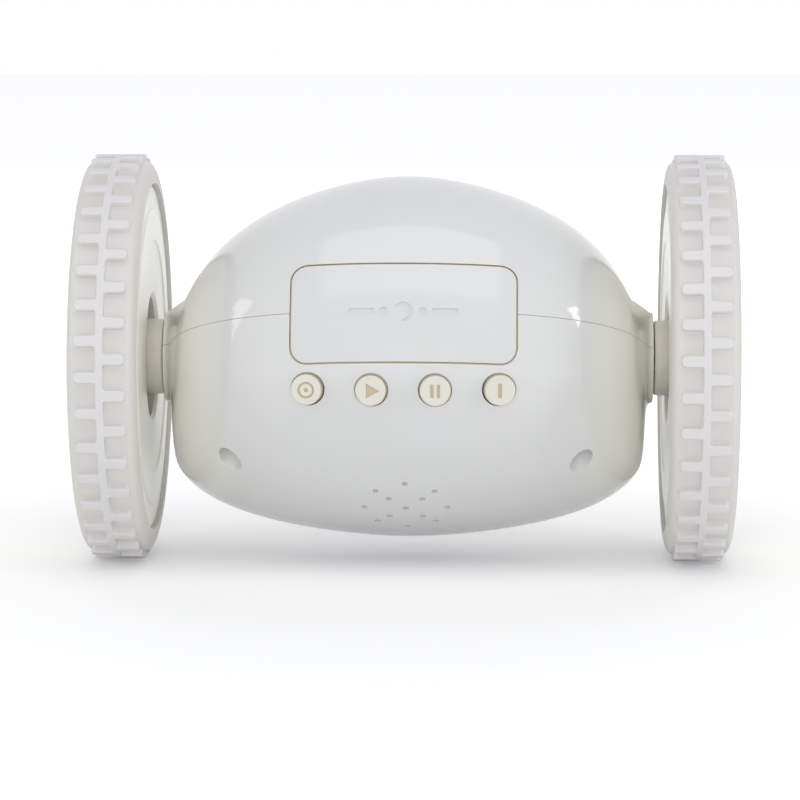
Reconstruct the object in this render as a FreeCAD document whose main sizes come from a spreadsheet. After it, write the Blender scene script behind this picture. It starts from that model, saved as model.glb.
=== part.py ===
import FreeCAD, Part
import Sketcher
import math
import os
import re

from FreeCAD import Placement, Rotation, Vector

# Runaway alarm clock: a rounded plastic body slung on the axis of two ribbed wheels.
# Millimetres. X runs along the wheel axis, the display faces -Y and up, the snooze bar and the
# set buttons face +Y, and the origin is on the floor under the middle of the axis.
# Pieces are drawn about the middle of the axis and lifted to its height at the end.
# A direction across the axis is an angle in degrees: 0 faces +Y, 90 faces up, 180 faces -Y.

SIZES = {
    # wheels
    "wheel_radius": 42.0,
    "rib_height": 1.5,
    "wheel_offset": 9.3,
    "tyre_half_width": 6.9,
    "tyre_thickness": 6.0,
    "centre_rib_width": 1.6,
    "rib_count": 36,
    "rib_length": 4.5,
    "rib_width": 2.3,
    "rim_wall": 2.2,
    "web_thickness": 2.0,
    "web_offset": 4.6,
    "rim_step_radius": 20.0,
    "collar_radius": 7.8,
    "collar_gap": 0.2,
    "cover_hole_radius": 12.5,
    "cover_recess": 0.1,
    "cover_thickness": 1.5,
    "cover_step": 5.0,
    "dome_ring_radius": 24.0,
    "cap_radius": 8.0,
    "cap_thickness": 1.4,
    "axle_radius": 1.5,
    "axle_cover": 1.4,
    "axle_inner_gap": 0.6,
    "bush_radius": 3.5,
    "bush_length": 6.8,
    "bush_recess": 0.2,
    "running_gap": 0.05,
    # body form
    "reach_rear": 37.4,
    "reach_front": 36.5,
    "reach_top": 38.6,
    "reach_bottom": 38.0,
    "half_length_side": 49.6,
    "top_set_back": 2.0,
    "bottom_set_out": 1.0,
    "tip_radius": 5.0,
    "tip_proud": 0.1,
    "wall": 2.0,
    "parting_angle": 20.0,
    "parting_gap": 0.12,
    "hub_radius": 9.3,
    "hub_proud": 0.9,
    "hub_tube_radius": 6.0,
    "hub_tube_length": 10.0,
    # display
    "display_angle": 140.0,
    "display_distance": 28.2,
    "lens_length": 44.0,
    "lens_height": 21.0,
    "lens_thickness": 1.2,
    "window_length": 40.0,
    "window_height": 16.5,
    "lens_corner": 2.5,
    "lens_gap": 0.1,
    "bezel_depth": 24.3,
    "panel_margin": 1.5,
    "panel_thickness": 2.2,
    "backlight_thickness": 1.8,
    "board_thickness": 1.6,
    "board_margin": 2.1,
    "post_gap": 0.1,
    "post_spacing_y": 25.0,
    "post_radius": 2.3,
    "board_screw_radius": 1.0,
    "board_screw_depth": 5.0,
    # snooze bar
    "snooze_length": 45.3,
    "snooze_height": 20.4,
    "snooze_corner": 3.5,
    "snooze_gap": 0.35,
    "snooze_travel": 1.0,
    "snooze_lip": 0.9,
    "snooze_lip_thickness": 1.0,
    "lip_gap": 0.3,
    "bar_foot": 4.0,
    "snooze_switch_x": 11.0,
    "snooze_board_depth": 25.8,
    "snooze_board_height": 9.0,
    "switch_board_thickness": 1.2,
    "board_bite": 1.0,
    "slot_gap": 0.1,
    "switch_width": 5.2,
    "snooze_switch_height": 3.0,
    "plunger_radius": 1.5,
    "plunger_rise": 1.1,
    # set buttons
    "button_pitch": 12.8,
    "pitch_slip": 0.15,
    "button_drop": 2.7,
    "button_hole_radius": 3.4,
    "button_radius": 3.05,
    "button_proud": 2.0,
    "flange_overlap": 0.5,
    "flange_flat": 2.2,
    "flange_gap": 0.25,
    "button_flange": 0.8,
    "button_travel": 0.8,
    "button_board_depth": 26.2,
    "button_board_height": 8.6,
    "button_switch_height": 1.8,
    "button_plunger_rise": 0.9,
    # speaker
    "speaker_angle": -55.0,
    "speaker_seat": 31.4,
    "speaker_radius": 10.0,
    "speaker_hole_radius": 0.65,
    "speaker_inner_ring": 4.8,
    "speaker_outer_ring": 8.4,
    # housing screws
    "column_x": 35.5,
    "column_rear": 14.9,
    "column_front": -14.0,
    "column_radius": 3.3,
    "well_radius": 2.3,
    "screw_ledge": -4.0,
    "screw_radius": 1.25,
    "screw_head_radius": 2.1,
    "screw_head": 1.6,
    "screw_depth": 7.0,
    # batteries
    "door_angle": 232.0,
    "door_ease": 0.35,
    "door_corner": 2.8,
    "door_gap": 0.2,
    "door_ledge": 1.4,
    "cell_radius": 5.25,
    "cell_length": 44.5,
    "cell_gap": 0.5,
    "layer_gap": 0.3,
    "cell_outer_depth": 24.4,
    "cell_nub": 0.8,
    "cell_nub_radius": 1.9,
    "spring_length": 1.7,
    "contact_thickness": 0.5,
    "contact_half_width": 4.0,
    "tray_wall": 1.0,
    "tray_clearance": 0.25,
    "tray_rim_depth": 28.2,
    # gear trains
    "gear_module": 0.5,
    "large_teeth": 44,
    "small_teeth": 10,
    "idler_angle": -90.0,
    "motor_angle": -2.0,
    "case_start": 25.0,
    "case_end": 32.2,
    "case_floor": 0.8,
    "case_wall": 0.9,
    "gear_room": 1.0,
    "pinion_room": 2.0,
    "gear_face": 1.8,
    "gear_side_gap": 0.3,
    "case_grip": 2.5,
    "bulkhead_thickness": 2.0,
    "gear_pin_radius": 0.8,
    "motor_radius": 7.75,
    "motor_length": 20.1,
    "motor_shaft_radius": 1.0,
    "motor_can_wall": 0.8,
    "armature_radius": 5.6,
    "armature_end_room": 3.0,
}

# Sizes that follow from the ones above: what seats on, fits in or passes through another piece.
FITS = {
    "tyre_seat_radius": "wheel_radius - tyre_thickness",
    "half_length_top": "half_length_side - top_set_back",
    "half_length_bottom": "half_length_side + bottom_set_out",
    "tip_start": "half_length_side + tip_proud",
    "hub_end": "half_length_side + hub_proud",
    "hub_tube_start": "hub_end - hub_tube_length",
    "wheel_centre": "hub_end + wheel_offset",
    "web_outer_face": "wheel_centre + web_offset",
    "cover_inner_face": "wheel_centre - tyre_half_width + cover_recess",
    "collar_start": "hub_end + collar_gap",
    "axle_start": "case_start + case_floor + axle_inner_gap",
    "axle_end": "web_outer_face - axle_cover",
    "bush_end": "hub_end - bush_recess",
    "bush_start": "bush_end - bush_length",
    "panel_length": "window_length + 2 * panel_margin",
    "panel_height": "window_height + 2 * panel_margin",
    "post_spacing_x": "panel_length + 2 * post_radius + 2 * post_gap",
    "main_board_length": "post_spacing_x + 2 * board_margin",
    "main_board_height": "post_spacing_y + 2 * board_margin",
    "bulkhead_start": "case_start + case_grip",
    "switch_board_length": "2 * bulkhead_start + 2 * board_bite",
    "button_hole_pitch": "button_pitch - pitch_slip",
    "button_flange_radius": "button_hole_radius + flange_overlap",
    "cell_pitch": "2 * cell_radius + cell_gap",
    "cell_inner_depth": "cell_outer_depth - 2 * cell_radius - layer_gap",
    "tray_length": "cell_length + spring_length + 2 * tray_wall + 2 * contact_thickness",
    "door_length": "tray_length - 2 * tray_wall + 2 * door_ledge",
    "door_width": "2 * (cell_pitch + tray_clearance + door_ledge + door_ease)",
    "gear_distance": "gear_module * (large_teeth + small_teeth) / 2",
    "idler_y": "gear_distance * cos(idler_angle)",
    "idler_z": "gear_distance * sin(idler_angle)",
    "motor_y": "idler_y + gear_distance * cos(motor_angle)",
    "motor_z": "idler_z + gear_distance * sin(motor_angle)",
    "parting_normal": "parting_angle + 90",
}

# A distance from the axis that is clear of every piece.
FAR = "60"

doc = FreeCAD.newDocument("runaway_alarm_clock")
sheet = doc.addObject("Spreadsheet::Sheet", "sizes")


def add_size(name, value):
    """Write one named value on its own row of the sheet."""
    row = len(aliases) + 1
    sheet.set(f"A{row}", name)
    sheet.set(f"B{row}", str(value))
    sheet.setAlias(f"B{row}", name)
    aliases.append(name)


aliases = []
for size_name, size_value in SIZES.items():
    add_size(size_name, size_value)
doc.recompute()
for size_name, formula in FITS.items():
    add_size(size_name, "=" + formula)
    doc.recompute()


def size(name):
    """A value of the sheet, for the forms that are worked out in code."""
    return float(sheet.get(name))


def bind(item, place, formula):
    """Tie a property to a formula written in the sheet's names."""
    words = re.sub(
        r"[a-z][a-z_]*",
        lambda word: "sizes." + word.group() if word.group() in aliases else word.group(),
        str(formula),
    )
    item.setExpression(place, words)


# Where each piece sits, so that a finished piece can be lifted to the axle's height.
heights = {}


def aim(item, x="0", y="0", z="0", facing=None, turn="90"):
    """Place a piece. With facing, local Z points that way and local Y lies a quarter turn back."""
    bind(item, "Placement.Base.x", x)
    if facing is None:
        bind(item, "Placement.Base.y", y)
        heights[item.Name] = str(z)
    else:
        item.Placement = Placement(Vector(), Rotation(Vector(1, 0, 0), 1))
        bind(item, "Placement.Rotation.Angle", f"({facing}) - {turn}")
        bind(item, "Placement.Base.y", f"({y}) * sin({facing}) + ({z}) * cos({facing})")
        heights[item.Name] = f"({z}) * sin({facing}) - ({y}) * cos({facing})"
    bind(item, "Placement.Base.z", heights[item.Name])


def block(name, x, y, z, facing=None):
    """A box from its low and high sides along three directions."""
    item = doc.addObject("Part::Box", name)
    for place, (low, high) in zip(("Length", "Width", "Height"), (x, y, z)):
        bind(item, place, f"({high}) - ({low})")
    aim(item, x[0], y[0], z[0], facing)
    return item


def rod(name, radius, low, high, x="0", y="0", facing="90"):
    """A cylinder that points along facing, from one distance out from the axis to another."""
    item = doc.addObject("Part::Cylinder", name)
    bind(item, "Radius", radius)
    bind(item, "Height", f"({high}) - ({low})")
    aim(item, x, y, low, facing)
    return item


def spindle(name, radius, low, high, y="0", z="0"):
    """A cylinder along the wheel axis."""
    item = doc.addObject("Part::Cylinder", name)
    bind(item, "Radius", radius)
    bind(item, "Height", f"({high}) - ({low})")
    item.Placement = Placement(Vector(), Rotation(Vector(0, 1, 0), 90))
    bind(item, "Placement.Base.x", low)
    bind(item, "Placement.Base.y", y)
    bind(item, "Placement.Base.z", z)
    heights[item.Name] = str(z)
    return item


def cut(name, base, *tools):
    """The base with every tool taken away."""
    item = doc.addObject("Part::Cut", name)
    item.Base = base
    item.Tool = tools[0] if len(tools) == 1 else group(name + "_tools", tools)
    return item


def join(name, *pieces):
    """One solid from pieces that meet."""
    item = doc.addObject("Part::MultiFuse", name)
    item.Shapes = list(pieces)
    return item


def overlap(name, first, second):
    """What two pieces share."""
    item = doc.addObject("Part::Common", name)
    item.Base = first
    item.Tool = second
    return item


def group(name, pieces):
    """Separate solids kept as one item."""
    item = doc.addObject("Part::Compound", name)
    item.Links = list(pieces)
    return item


def mirrored(name, source):
    """The same piece on the other side of the middle."""
    item = doc.addObject("Part::Mirroring", name)
    item.Source = source
    item.Normal = Vector(1, 0, 0)
    return item


def origin_plane(body, role):
    """One of a body's own three planes."""
    return next(plane for plane in body.Origin.OriginFeatures if plane.Role == role)


def turned(name, outline, facing=None, x="0", y="0"):
    """A turned body. Its outline is (along, radius); it turns about X, or about facing if given."""
    body = doc.addObject("PartDesign::Body", name)
    sketch = body.newObject("Sketcher::SketchObject", name + "_outline")
    sketch.AttachmentSupport = [(origin_plane(body, "XY_Plane"), "")]
    sketch.MapMode = "FlatFace"
    about_x = facing is None
    points = [(along, radius) if about_x else (radius, along) for along, radius in outline]
    guesses = [Vector(1 + index, 1 + index * index / 7.0, 0) for index in range(len(points))]
    for index, start in enumerate(guesses):
        end = guesses[(index + 1) % len(points)]
        sketch.addGeometry(Part.LineSegment(start, end))
    last = len(points) - 1
    for index in range(len(points)):
        follower = 0 if index == last else index + 1
        sketch.addConstraint(Sketcher.Constraint("Coincident", index, 2, follower, 1))
    for index, pair in enumerate(points):
        for kind, formula in zip(("DistanceX", "DistanceY"), pair):
            if str(formula) == "0":
                axis = -2 if kind == "DistanceX" else -1
                sketch.addConstraint(Sketcher.Constraint("PointOnObject", index, 1, axis))
                continue
            number = sketch.addConstraint(Sketcher.Constraint(kind, -1, 1, index, 1, 1.0))
            bind(sketch, f"Constraints[{number}]", formula)
    turn = body.newObject("PartDesign::Revolution", name + "_turn")
    turn.Profile = sketch
    turn.ReferenceAxis = (sketch, ["H_Axis" if about_x else "V_Axis"])
    turn.Angle = 360
    if about_x:
        heights[body.Name] = "0"
        if x != "0":
            aim(body, x, y, "0")
    else:
        aim(body, x, y, "0", facing, turn="0")
    return body


def rounded_plate(name, length, width, corner, low, high, facing, x="0", y="0"):
    """A plate with rounded corners, square to the direction it faces."""
    body = doc.addObject("PartDesign::Body", name)
    sketch = body.newObject("Sketcher::SketchObject", name + "_outline")
    sketch.AttachmentSupport = [(origin_plane(body, "XY_Plane"), "")]
    sketch.MapMode = "FlatFace"
    corners = [Vector(-9, -5, 0), Vector(9, -5, 0), Vector(9, 5, 0), Vector(-9, 5, 0)]
    for index in range(4):
        sketch.addGeometry(Part.LineSegment(corners[index], corners[(index + 1) % 4]))
    for index in range(4):
        sketch.addConstraint(Sketcher.Constraint("Coincident", index, 2, (index + 1) % 4, 1))
    for index in (0, 2):
        sketch.addConstraint(Sketcher.Constraint("Horizontal", index))
        sketch.addConstraint(Sketcher.Constraint("Vertical", index + 1))
    sketch.addConstraint(Sketcher.Constraint("Symmetric", 0, 1, 1, 2, -1, 1))
    number = sketch.addConstraint(Sketcher.Constraint("DistanceX", 0, 1, 0, 2, 18.0))
    bind(sketch, f"Constraints[{number}]", length)
    number = sketch.addConstraint(Sketcher.Constraint("DistanceY", 1, 1, 1, 2, 10.0))
    bind(sketch, f"Constraints[{number}]", width)
    bind(sketch, "AttachmentOffset.Base.x", x)
    bind(sketch, "AttachmentOffset.Base.y", y)
    bind(sketch, "AttachmentOffset.Base.z", low)
    pad = body.newObject("PartDesign::Pad", name + "_pad")
    pad.Profile = sketch
    bind(pad, "Length", f"({high}) - ({low})")
    doc.recompute()
    upright = [
        f"Edge{index + 1}"
        for index, edge in enumerate(pad.Shape.Edges)
        if abs(edge.tangentAt(edge.FirstParameter).z) > 0.999
    ]
    fillet = body.newObject("PartDesign::Fillet", name + "_corners")
    fillet.Base = (pad, upright)
    bind(fillet, "Radius", corner)
    aim(body, facing=facing)
    return body


def shaped(name, solid):
    """A form worked out in code, held as an item of the document."""
    item = doc.addObject("Part::Feature", name)
    item.Shape = solid
    heights[item.Name] = "0"
    return item


finished = []


def finish(name, item):
    """Name a finished piece and lift it to the axle's height."""
    item.Label = name
    bind(item, "Placement.Base.z", f"{heights.get(item.Name, '0')} + wheel_radius")
    finished.append(item)
    return item


def finish_pair(name, item):
    """Finish a piece of the right side (+X) and its mirror image on the left."""
    finish("right_" + name, item)
    twin = mirrored("left_" + name, item)
    twin.Label = "left_" + name
    finished.append(twin)
    return item


# Body form. A smooth closed surface whose sections across the axis are rounded, flattened in
# front for the display, and shrink towards the hubs.
STATIONS = (0.0, 0.2, 0.4, 0.57, 0.7, 0.8, 0.88, 0.935, 0.97, 0.99, 0.998)
AROUND = 40
SHOULDER_POWER = 1.62
REAR_SHOULDER_POWER = 2.6
TOP_POWER = 2.1
BOTTOM_FRONT_POWER = 2.3
BOTTOM_REAR_POWER = 1.66
FLAT_POWER = 16


def reach(angle, inset):
    """Distance from the axis to the surface at the middle of the body."""
    across = math.cos(angle)
    up = math.sin(angle)
    side = size("reach_rear") if across > 0 else size("reach_front")
    height = size("reach_top") if up > 0 else size("reach_bottom")
    bottom_power = BOTTOM_REAR_POWER if across > 0 else BOTTOM_FRONT_POWER
    power = TOP_POWER if up > 0 else bottom_power
    return ((abs(across) / side) ** power + (abs(up) / height) ** power) ** (-1 / power) - inset


def surface_point(angle, share, inset):
    """A control point at an angle round the axis and a share of the way to the hub."""
    upright = math.sin(angle) ** 2
    above = math.sin(angle) > 0
    half_length = size("half_length_top" if above else "half_length_bottom")
    end = half_length * upright + size("half_length_side") * (1 - upright) - inset
    power = (2.5 if above else 5.2) * upright + 2.7 * (1 - upright)
    rearward = max(0.0, math.cos(angle)) ** 2
    shoulder = SHOULDER_POWER + (REAR_SHOULDER_POWER - SHOULDER_POWER) * rearward
    radius = reach(angle, inset) * (1 - abs(share) ** shoulder) ** (1 / power)
    radius = max(0.9 * size("tip_radius"), radius)
    toward = math.cos(angle - math.radians(size("display_angle")))
    if toward > 0.05:
        flat = (size("display_distance") - inset) / toward
        radius = (radius ** -FLAT_POWER + flat ** -FLAT_POWER) ** (-1 / FLAT_POWER)
    return Vector(share * end, radius * math.cos(angle), radius * math.sin(angle))


def body_form(inset):
    """The closed body, moved in by inset all round."""
    shares = [-share for share in reversed(STATIONS[1:])] + list(STATIONS)
    angles = [2 * math.pi * step / AROUND for step in range(AROUND)]
    tip_radius = size("tip_radius")
    tip = [(tip_radius * math.cos(angle), tip_radius * math.sin(angle)) for angle in angles]
    end = size("tip_start") - inset
    rows = [[Vector(-end, across, up) for across, up in tip]]
    rows += [[surface_point(angle, share, inset) for angle in angles] for share in shares]
    rows += [[Vector(end, across, up) for across, up in tip]]
    degree = 3
    along = list(range(len(rows) - degree + 1))
    round_about = list(range(AROUND + 1))
    surface = Part.BSplineSurface()
    surface.buildFromPolesMultsKnots(
        rows,
        [degree + 1] + [1] * (len(along) - 2) + [degree + 1],
        [1] * len(round_about),
        [float(knot) for knot in along],
        [float(knot) for knot in round_about],
        False,
        True,
        degree,
        degree,
    )
    skin = surface.toShape()
    rings = [edge for edge in skin.Edges if edge.BoundBox.XLength < 1e-3]
    sewn = Part.Compound([skin] + [Part.Face(Part.Wire([ring])) for ring in rings])
    sewn.sewShape()
    solid = Part.Solid(sewn.Shells[0] if sewn.Shells else sewn)
    return solid if solid.Volume > 0 else solid.reversed()


WALL = size("wall")
outer_form = shaped("outer_form", body_form(0.0))
half_wall_form = shaped("half_wall_form", body_form(WALL / 2))
ledge_form = shaped("ledge_form", body_form(WALL / 2 + 0.1))
inner_form = shaped("inner_form", body_form(WALL))
lip_top_form = shaped("lip_top_form", body_form(WALL + size("lip_gap")))
lip_under_form = shaped("lip_under_form", body_form(
    WALL + size("lip_gap") + size("snooze_lip_thickness")))


def depth_at(form, x, z):
    """How far along +Y a form's surface lies at a point of the rear."""
    line = Part.makeLine(Vector(x, 0, z), Vector(x, float(FAR), z))
    return line.common(form.Shape).BoundBox.YMax


BUTTONS = ("time", "alarm", "minute", "hour")
for number, name in enumerate(BUTTONS):
    middle = (1.5 - number) * size("button_pitch")
    drop = size("button_drop")
    edge = abs(middle) + size("button_flange_radius")
    add_size(name + "_face", round(depth_at(outer_form, middle, -drop) + size("button_proud"), 3))
    flange = size("button_flange_radius")
    inner_face = min(depth_at(inner_form, edge, -drop + step) for step in (-flange, 0, flange))
    add_size(name + "_flange", round(inner_face - size("flange_gap"), 3))
doc.recompute()


def belt(circles, low, high):
    """A slab whose outline is stretched round circles given counter-clockwise as (y, z, radius)."""
    lines = []
    for index, (y, z, radius) in enumerate(circles):
        next_y, next_z, next_radius = circles[(index + 1) % len(circles)]
        run = Vector(0, next_y - y, next_z - z)
        length = run.Length
        run.normalize()
        lean = (radius - next_radius) / length
        normal = run * lean + Vector(0, run.z, -run.y) * math.sqrt(1 - lean * lean)
        start = Vector(low, y, z) + normal * radius
        end = Vector(low, next_y, next_z) + normal * next_radius
        lines.append((start, end, normal))
    edges = []
    for index, (start, end, normal) in enumerate(lines):
        y, z, radius = circles[index]
        before_end, before_normal = lines[index - 1][1:]
        middle = before_normal + normal
        middle.normalize()
        edges.append(Part.Arc(before_end, Vector(low, y, z) + middle * radius, start).toShape())
        edges.append(Part.LineSegment(start, end).toShape())
    return Part.Face(Part.Wire(edges)).extrude(Vector(high - low, 0, 0))


def case_circles(grow):
    """The circles that the gearbox is stretched round, out from its inner wall."""
    large = size("gear_module") * size("large_teeth") / 2 + size("gear_room")
    small = size("gear_module") * size("small_teeth") / 2 + size("pinion_room")
    return [
        (0.0, 0.0, large + grow),
        (size("idler_y"), size("idler_z"), large + grow),
        (size("motor_y"), size("motor_z"), small + grow),
    ]


# Tooth form: root and tip height in modules, play between flanks, and the flanks' slope.
TOOTH_LEVELS = (-1.05, 0.8)
BACKLASH = 0.16
FLANK_SLOPE = math.tan(math.radians(20))


def toothed(teeth, low, high, bore, centre, tooth_at):
    """A spur gear along the axis with a tooth centred on the angle tooth_at."""
    module = size("gear_module")
    pitch_radius = module * teeth / 2
    outline = []
    for tooth in range(int(teeth)):
        middle = math.radians(tooth_at) + 2 * math.pi * tooth / teeth
        flanks = []
        for level in TOOTH_LEVELS:
            rise = level * module
            half = (math.pi * module - 2 * BACKLASH) / 4 - rise * FLANK_SLOPE
            flanks.append((pitch_radius + rise, half / (pitch_radius + rise)))
        path = [(r, middle - a) for r, a in flanks] + [(r, middle + a) for r, a in reversed(flanks)]
        outline += [Vector(low, centre[0] + r * math.cos(a), centre[1] + r * math.sin(a)) for r, a in path]
    wire = Part.makePolygon(outline + [outline[0]])
    gear = Part.Face(wire).extrude(Vector(high - low, 0, 0))
    axis = Vector(1, 0, 0)
    return gear.cut(Part.makeCylinder(bore, high - low, Vector(low, centre[0], centre[1]), axis))


# The display stack, from its window back to the main board.
PANEL_BACK = "bezel_depth - panel_thickness"
BOARD_FRONT = PANEL_BACK + " - backlight_thickness"
BOARD_BACK = BOARD_FRONT + " - board_thickness"

# Housing: two shells that part on a slanted plane through the axis.
hub_flare = turned("hub_flare", [
    ("hub_tube_start", "0"),
    ("hub_tube_start", "hub_radius + 3"),
    ("hub_end - 6.5", "hub_radius + 2.6"),
    ("hub_end - 4.4", "hub_radius + 0.9"),
    ("hub_end - 2.4", "hub_radius + 0.2"),
    ("hub_end", "hub_radius"),
    ("hub_end", "0"),
])
flares = join("flared_form", outer_form, hub_flare, mirrored("hub_flare_left", hub_flare))
hollow_shell = cut("hollow_shell", flares, inner_form)

inside = []
for side, sign in (("right", ""), ("left", "-")):
    low, high = ("hub_tube_start", "hub_end") if sign == "" else ("-hub_end", "-hub_tube_start")
    inside.append(spindle(side + "_hub_tube", "hub_tube_radius", low, high))
    for end in ("rear", "front"):
        inside.append(rod(f"{side}_{end}_column", "column_radius", "-" + FAR, FAR,
                          sign + "column_x", "column_" + end, "parting_normal"))
    start, stop = "bulkhead_start", "bulkhead_start + bulkhead_thickness"
    if sign:
        start, stop = "-" + start + " - bulkhead_thickness", "-bulkhead_start"
    inside.append(block(side + "_bulkhead", (start, stop), ("-" + FAR, FAR), ("-" + FAR, FAR)))
    for level, spot in (("upper", ""), ("lower", "-")):
        inside.append(rod(f"{side}_{level}_post", "post_radius",
                          BOARD_FRONT, FAR,
                          sign + "post_spacing_x / 2", spot + "post_spacing_y / 2", "display_angle"))
inside.append(block(
    "window_frame",
    ("-panel_length / 2 - 3.5", "panel_length / 2 + 3.5"),
    ("-panel_height / 2 - 3.5", "panel_height / 2 + 3.5"),
    ("bezel_depth", "display_distance - 1"),
    "display_angle",
))
inside.append(cut(
    "speaker_seat_ring",
    rod("speaker_seat_outer", "speaker_radius + 1.5", "speaker_seat", FAR, facing="speaker_angle"),
    rod("speaker_seat_inner", "speaker_radius - 1", "speaker_seat - 1", FAR + " + 1", facing="speaker_angle"),
))
inside.append(cut(
    "tray_collar",
    block("tray_collar_outer",
          ("-tray_length / 2 - 1.2", "tray_length / 2 + 1.2"),
          ("-cell_pitch - 2.4", "cell_pitch + 2.4"),
          ("tray_rim_depth - 1.4", FAR), "door_angle"),
    block("tray_collar_inner",
          ("-tray_length / 2 - 0.1", "tray_length / 2 + 0.1"),
          ("-cell_pitch - tray_wall - tray_clearance - 0.1", "cell_pitch + tray_wall + tray_clearance + 0.1"),
          ("0", FAR + " + 1"), "door_angle"),
))
fittings = overlap("inside_fittings", join("inside_pieces", *inside), half_wall_form)
filled_shell = join("filled_shell", hollow_shell, fittings)

openings = []
case_hollow = belt(case_circles(size("case_wall") + 0.1), size("case_start") - 0.1, size("case_end") + 0.1)
right_case_hollow = shaped("case_hollow", case_hollow)
openings += [right_case_hollow, mirrored("case_hollow_left", right_case_hollow)]
for side, sign in (("right", ""), ("left", "-")):
    low, high = ("hub_tube_start - 1", "hub_end + 1")
    if sign:
        low, high = "-hub_end - 1", "-hub_tube_start + 1"
    openings.append(spindle(side + "_bush_bore", "bush_radius", low, high))
    for end in ("rear", "front"):
        spot = (sign + "column_x", "column_" + end, "parting_normal")
        openings.append(rod(f"{side}_{end}_well", "well_radius", "-" + FAR, "screw_ledge", *spot))
        openings.append(rod(f"{side}_{end}_clearance", "screw_radius + 0.15", "screw_ledge - 1", "0", *spot))
        openings.append(rod(f"{side}_{end}_pilot", "screw_radius", "-1", "screw_depth + 1", *spot))
    for level, spot in (("upper", ""), ("lower", "-")):
        openings.append(rod(f"{side}_{level}_pilot", "board_screw_radius",
                            BOARD_FRONT + " - 1", BOARD_FRONT + " + board_screw_depth + 0.3",
                            sign + "post_spacing_x / 2", spot + "post_spacing_y / 2", "display_angle"))
openings.append(rounded_plate(
    "lens_recess", "lens_length + 2 * lens_gap", "lens_height + 2 * lens_gap", "lens_corner + lens_gap",
    "display_distance - lens_thickness", FAR, "display_angle"))
openings.append(rounded_plate(
    "window_opening", "window_length", "window_height", "2",
    "bezel_depth - 2", "display_distance", "display_angle"))
openings.append(rounded_plate(
    "snooze_opening", "snooze_length", "snooze_height", "snooze_corner",
    "snooze_board_depth + 2", FAR, "parting_angle"))
openings.append(overlap(
    "snooze_lip_room",
    rounded_plate(
        "snooze_lip_room_prism", "snooze_length + 2 * snooze_lip + 2 * lip_gap",
        "snooze_height + 2 * snooze_lip + 2 * lip_gap", "snooze_corner",
        "snooze_board_depth + 2", FAR, "parting_angle"),
    inner_form))
openings.append(block("wire_window", ("-30", "30"), ("-8", "3"), ("15", "19.5")))
for number, name in enumerate(BUTTONS):
    openings.append(rod(name + "_hole", "button_hole_radius", "button_board_depth + 1", FAR,
                        f"{1.5 - number} * button_hole_pitch", "button_drop", "0"))
openings.append(block(
    "snooze_board_slot",
    ("-switch_board_length / 2 - slot_gap", "switch_board_length / 2 + slot_gap"),
    ("-snooze_board_height / 2 - slot_gap", "snooze_board_height / 2 + slot_gap"),
    ("snooze_board_depth - switch_board_thickness - slot_gap", "snooze_board_depth + slot_gap"),
    "parting_angle"))
openings.append(block(
    "button_board_slot",
    ("-switch_board_length / 2 - slot_gap", "switch_board_length / 2 + slot_gap"),
    ("button_drop - button_board_height / 2 - slot_gap", "button_drop + button_board_height / 2 + slot_gap"),
    ("button_board_depth - switch_board_thickness - slot_gap", "button_board_depth + slot_gap"),
    "0"))
speaker_spots = [("0", "0")]
for turn in range(4):
    angle = 45 + 90 * turn
    speaker_spots.append((f"speaker_inner_ring * cos({angle})", f"speaker_inner_ring * sin({angle})"))
for turn in range(8):
    angle = 45 * turn
    speaker_spots.append((f"speaker_outer_ring * cos({angle})", f"speaker_outer_ring * sin({angle})"))
for number, (x, y) in enumerate(speaker_spots):
    openings.append(rod(f"speaker_hole_{number}", "speaker_hole_radius", "speaker_seat - 1", FAR,
                        x, y, "speaker_angle"))
door_rebate = cut(
    "door_rebate",
    rounded_plate("door_rebate_prism", "door_length + 2 * door_gap", "door_width + 2 * door_gap",
                  "door_corner + door_gap", "20", FAR, "door_angle"),
    ledge_form,
)
openings.append(door_rebate)
openings.append(rounded_plate(
    "door_opening", "door_length - 2 * door_ledge", "door_width - 2 * door_ledge",
    "door_corner - door_ledge + door_gap", "tray_rim_depth - 1", FAR, "door_angle"))
whole_housing = cut("whole_housing", filled_shell, *openings)

HALF = ("-2 * " + FAR, "2 * " + FAR)
front_side = block("front_side", HALF, HALF, ("parting_gap / 2", FAR), "parting_normal")
rear_side = block("rear_side", HALF, HALF, ("-" + FAR, "-parting_gap / 2"), "parting_normal")
finish("front_housing", overlap("front_shell", whole_housing, front_side))
finish("rear_housing", overlap("rear_shell", whole_housing, rear_side))

# Display: a clear lens let into the face, and the panel, its backlight and its rubber
# connector stacked on the main board behind the window.
finish("display_lens", rounded_plate(
    "display_lens", "lens_length", "lens_height", "lens_corner",
    "display_distance - lens_thickness", "display_distance", "display_angle"))
finish("lcd_panel", block(
    "lcd_panel", ("-panel_length / 2", "panel_length / 2"), ("-panel_height / 2", "panel_height / 2"),
    (PANEL_BACK, "bezel_depth"), "display_angle"))
finish("lcd_backlight", block(
    "lcd_backlight", ("-panel_length / 2", "panel_length / 2"),
    ("-panel_height / 2 + 2.3", "panel_height / 2"), (BOARD_FRONT, PANEL_BACK), "display_angle"))
finish("connector_strip", block(
    "connector_strip", ("-panel_length / 2 + 2.5", "panel_length / 2 - 2.5"),
    ("-panel_height / 2", "-panel_height / 2 + 2"), (BOARD_FRONT, PANEL_BACK), "display_angle"))

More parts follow.
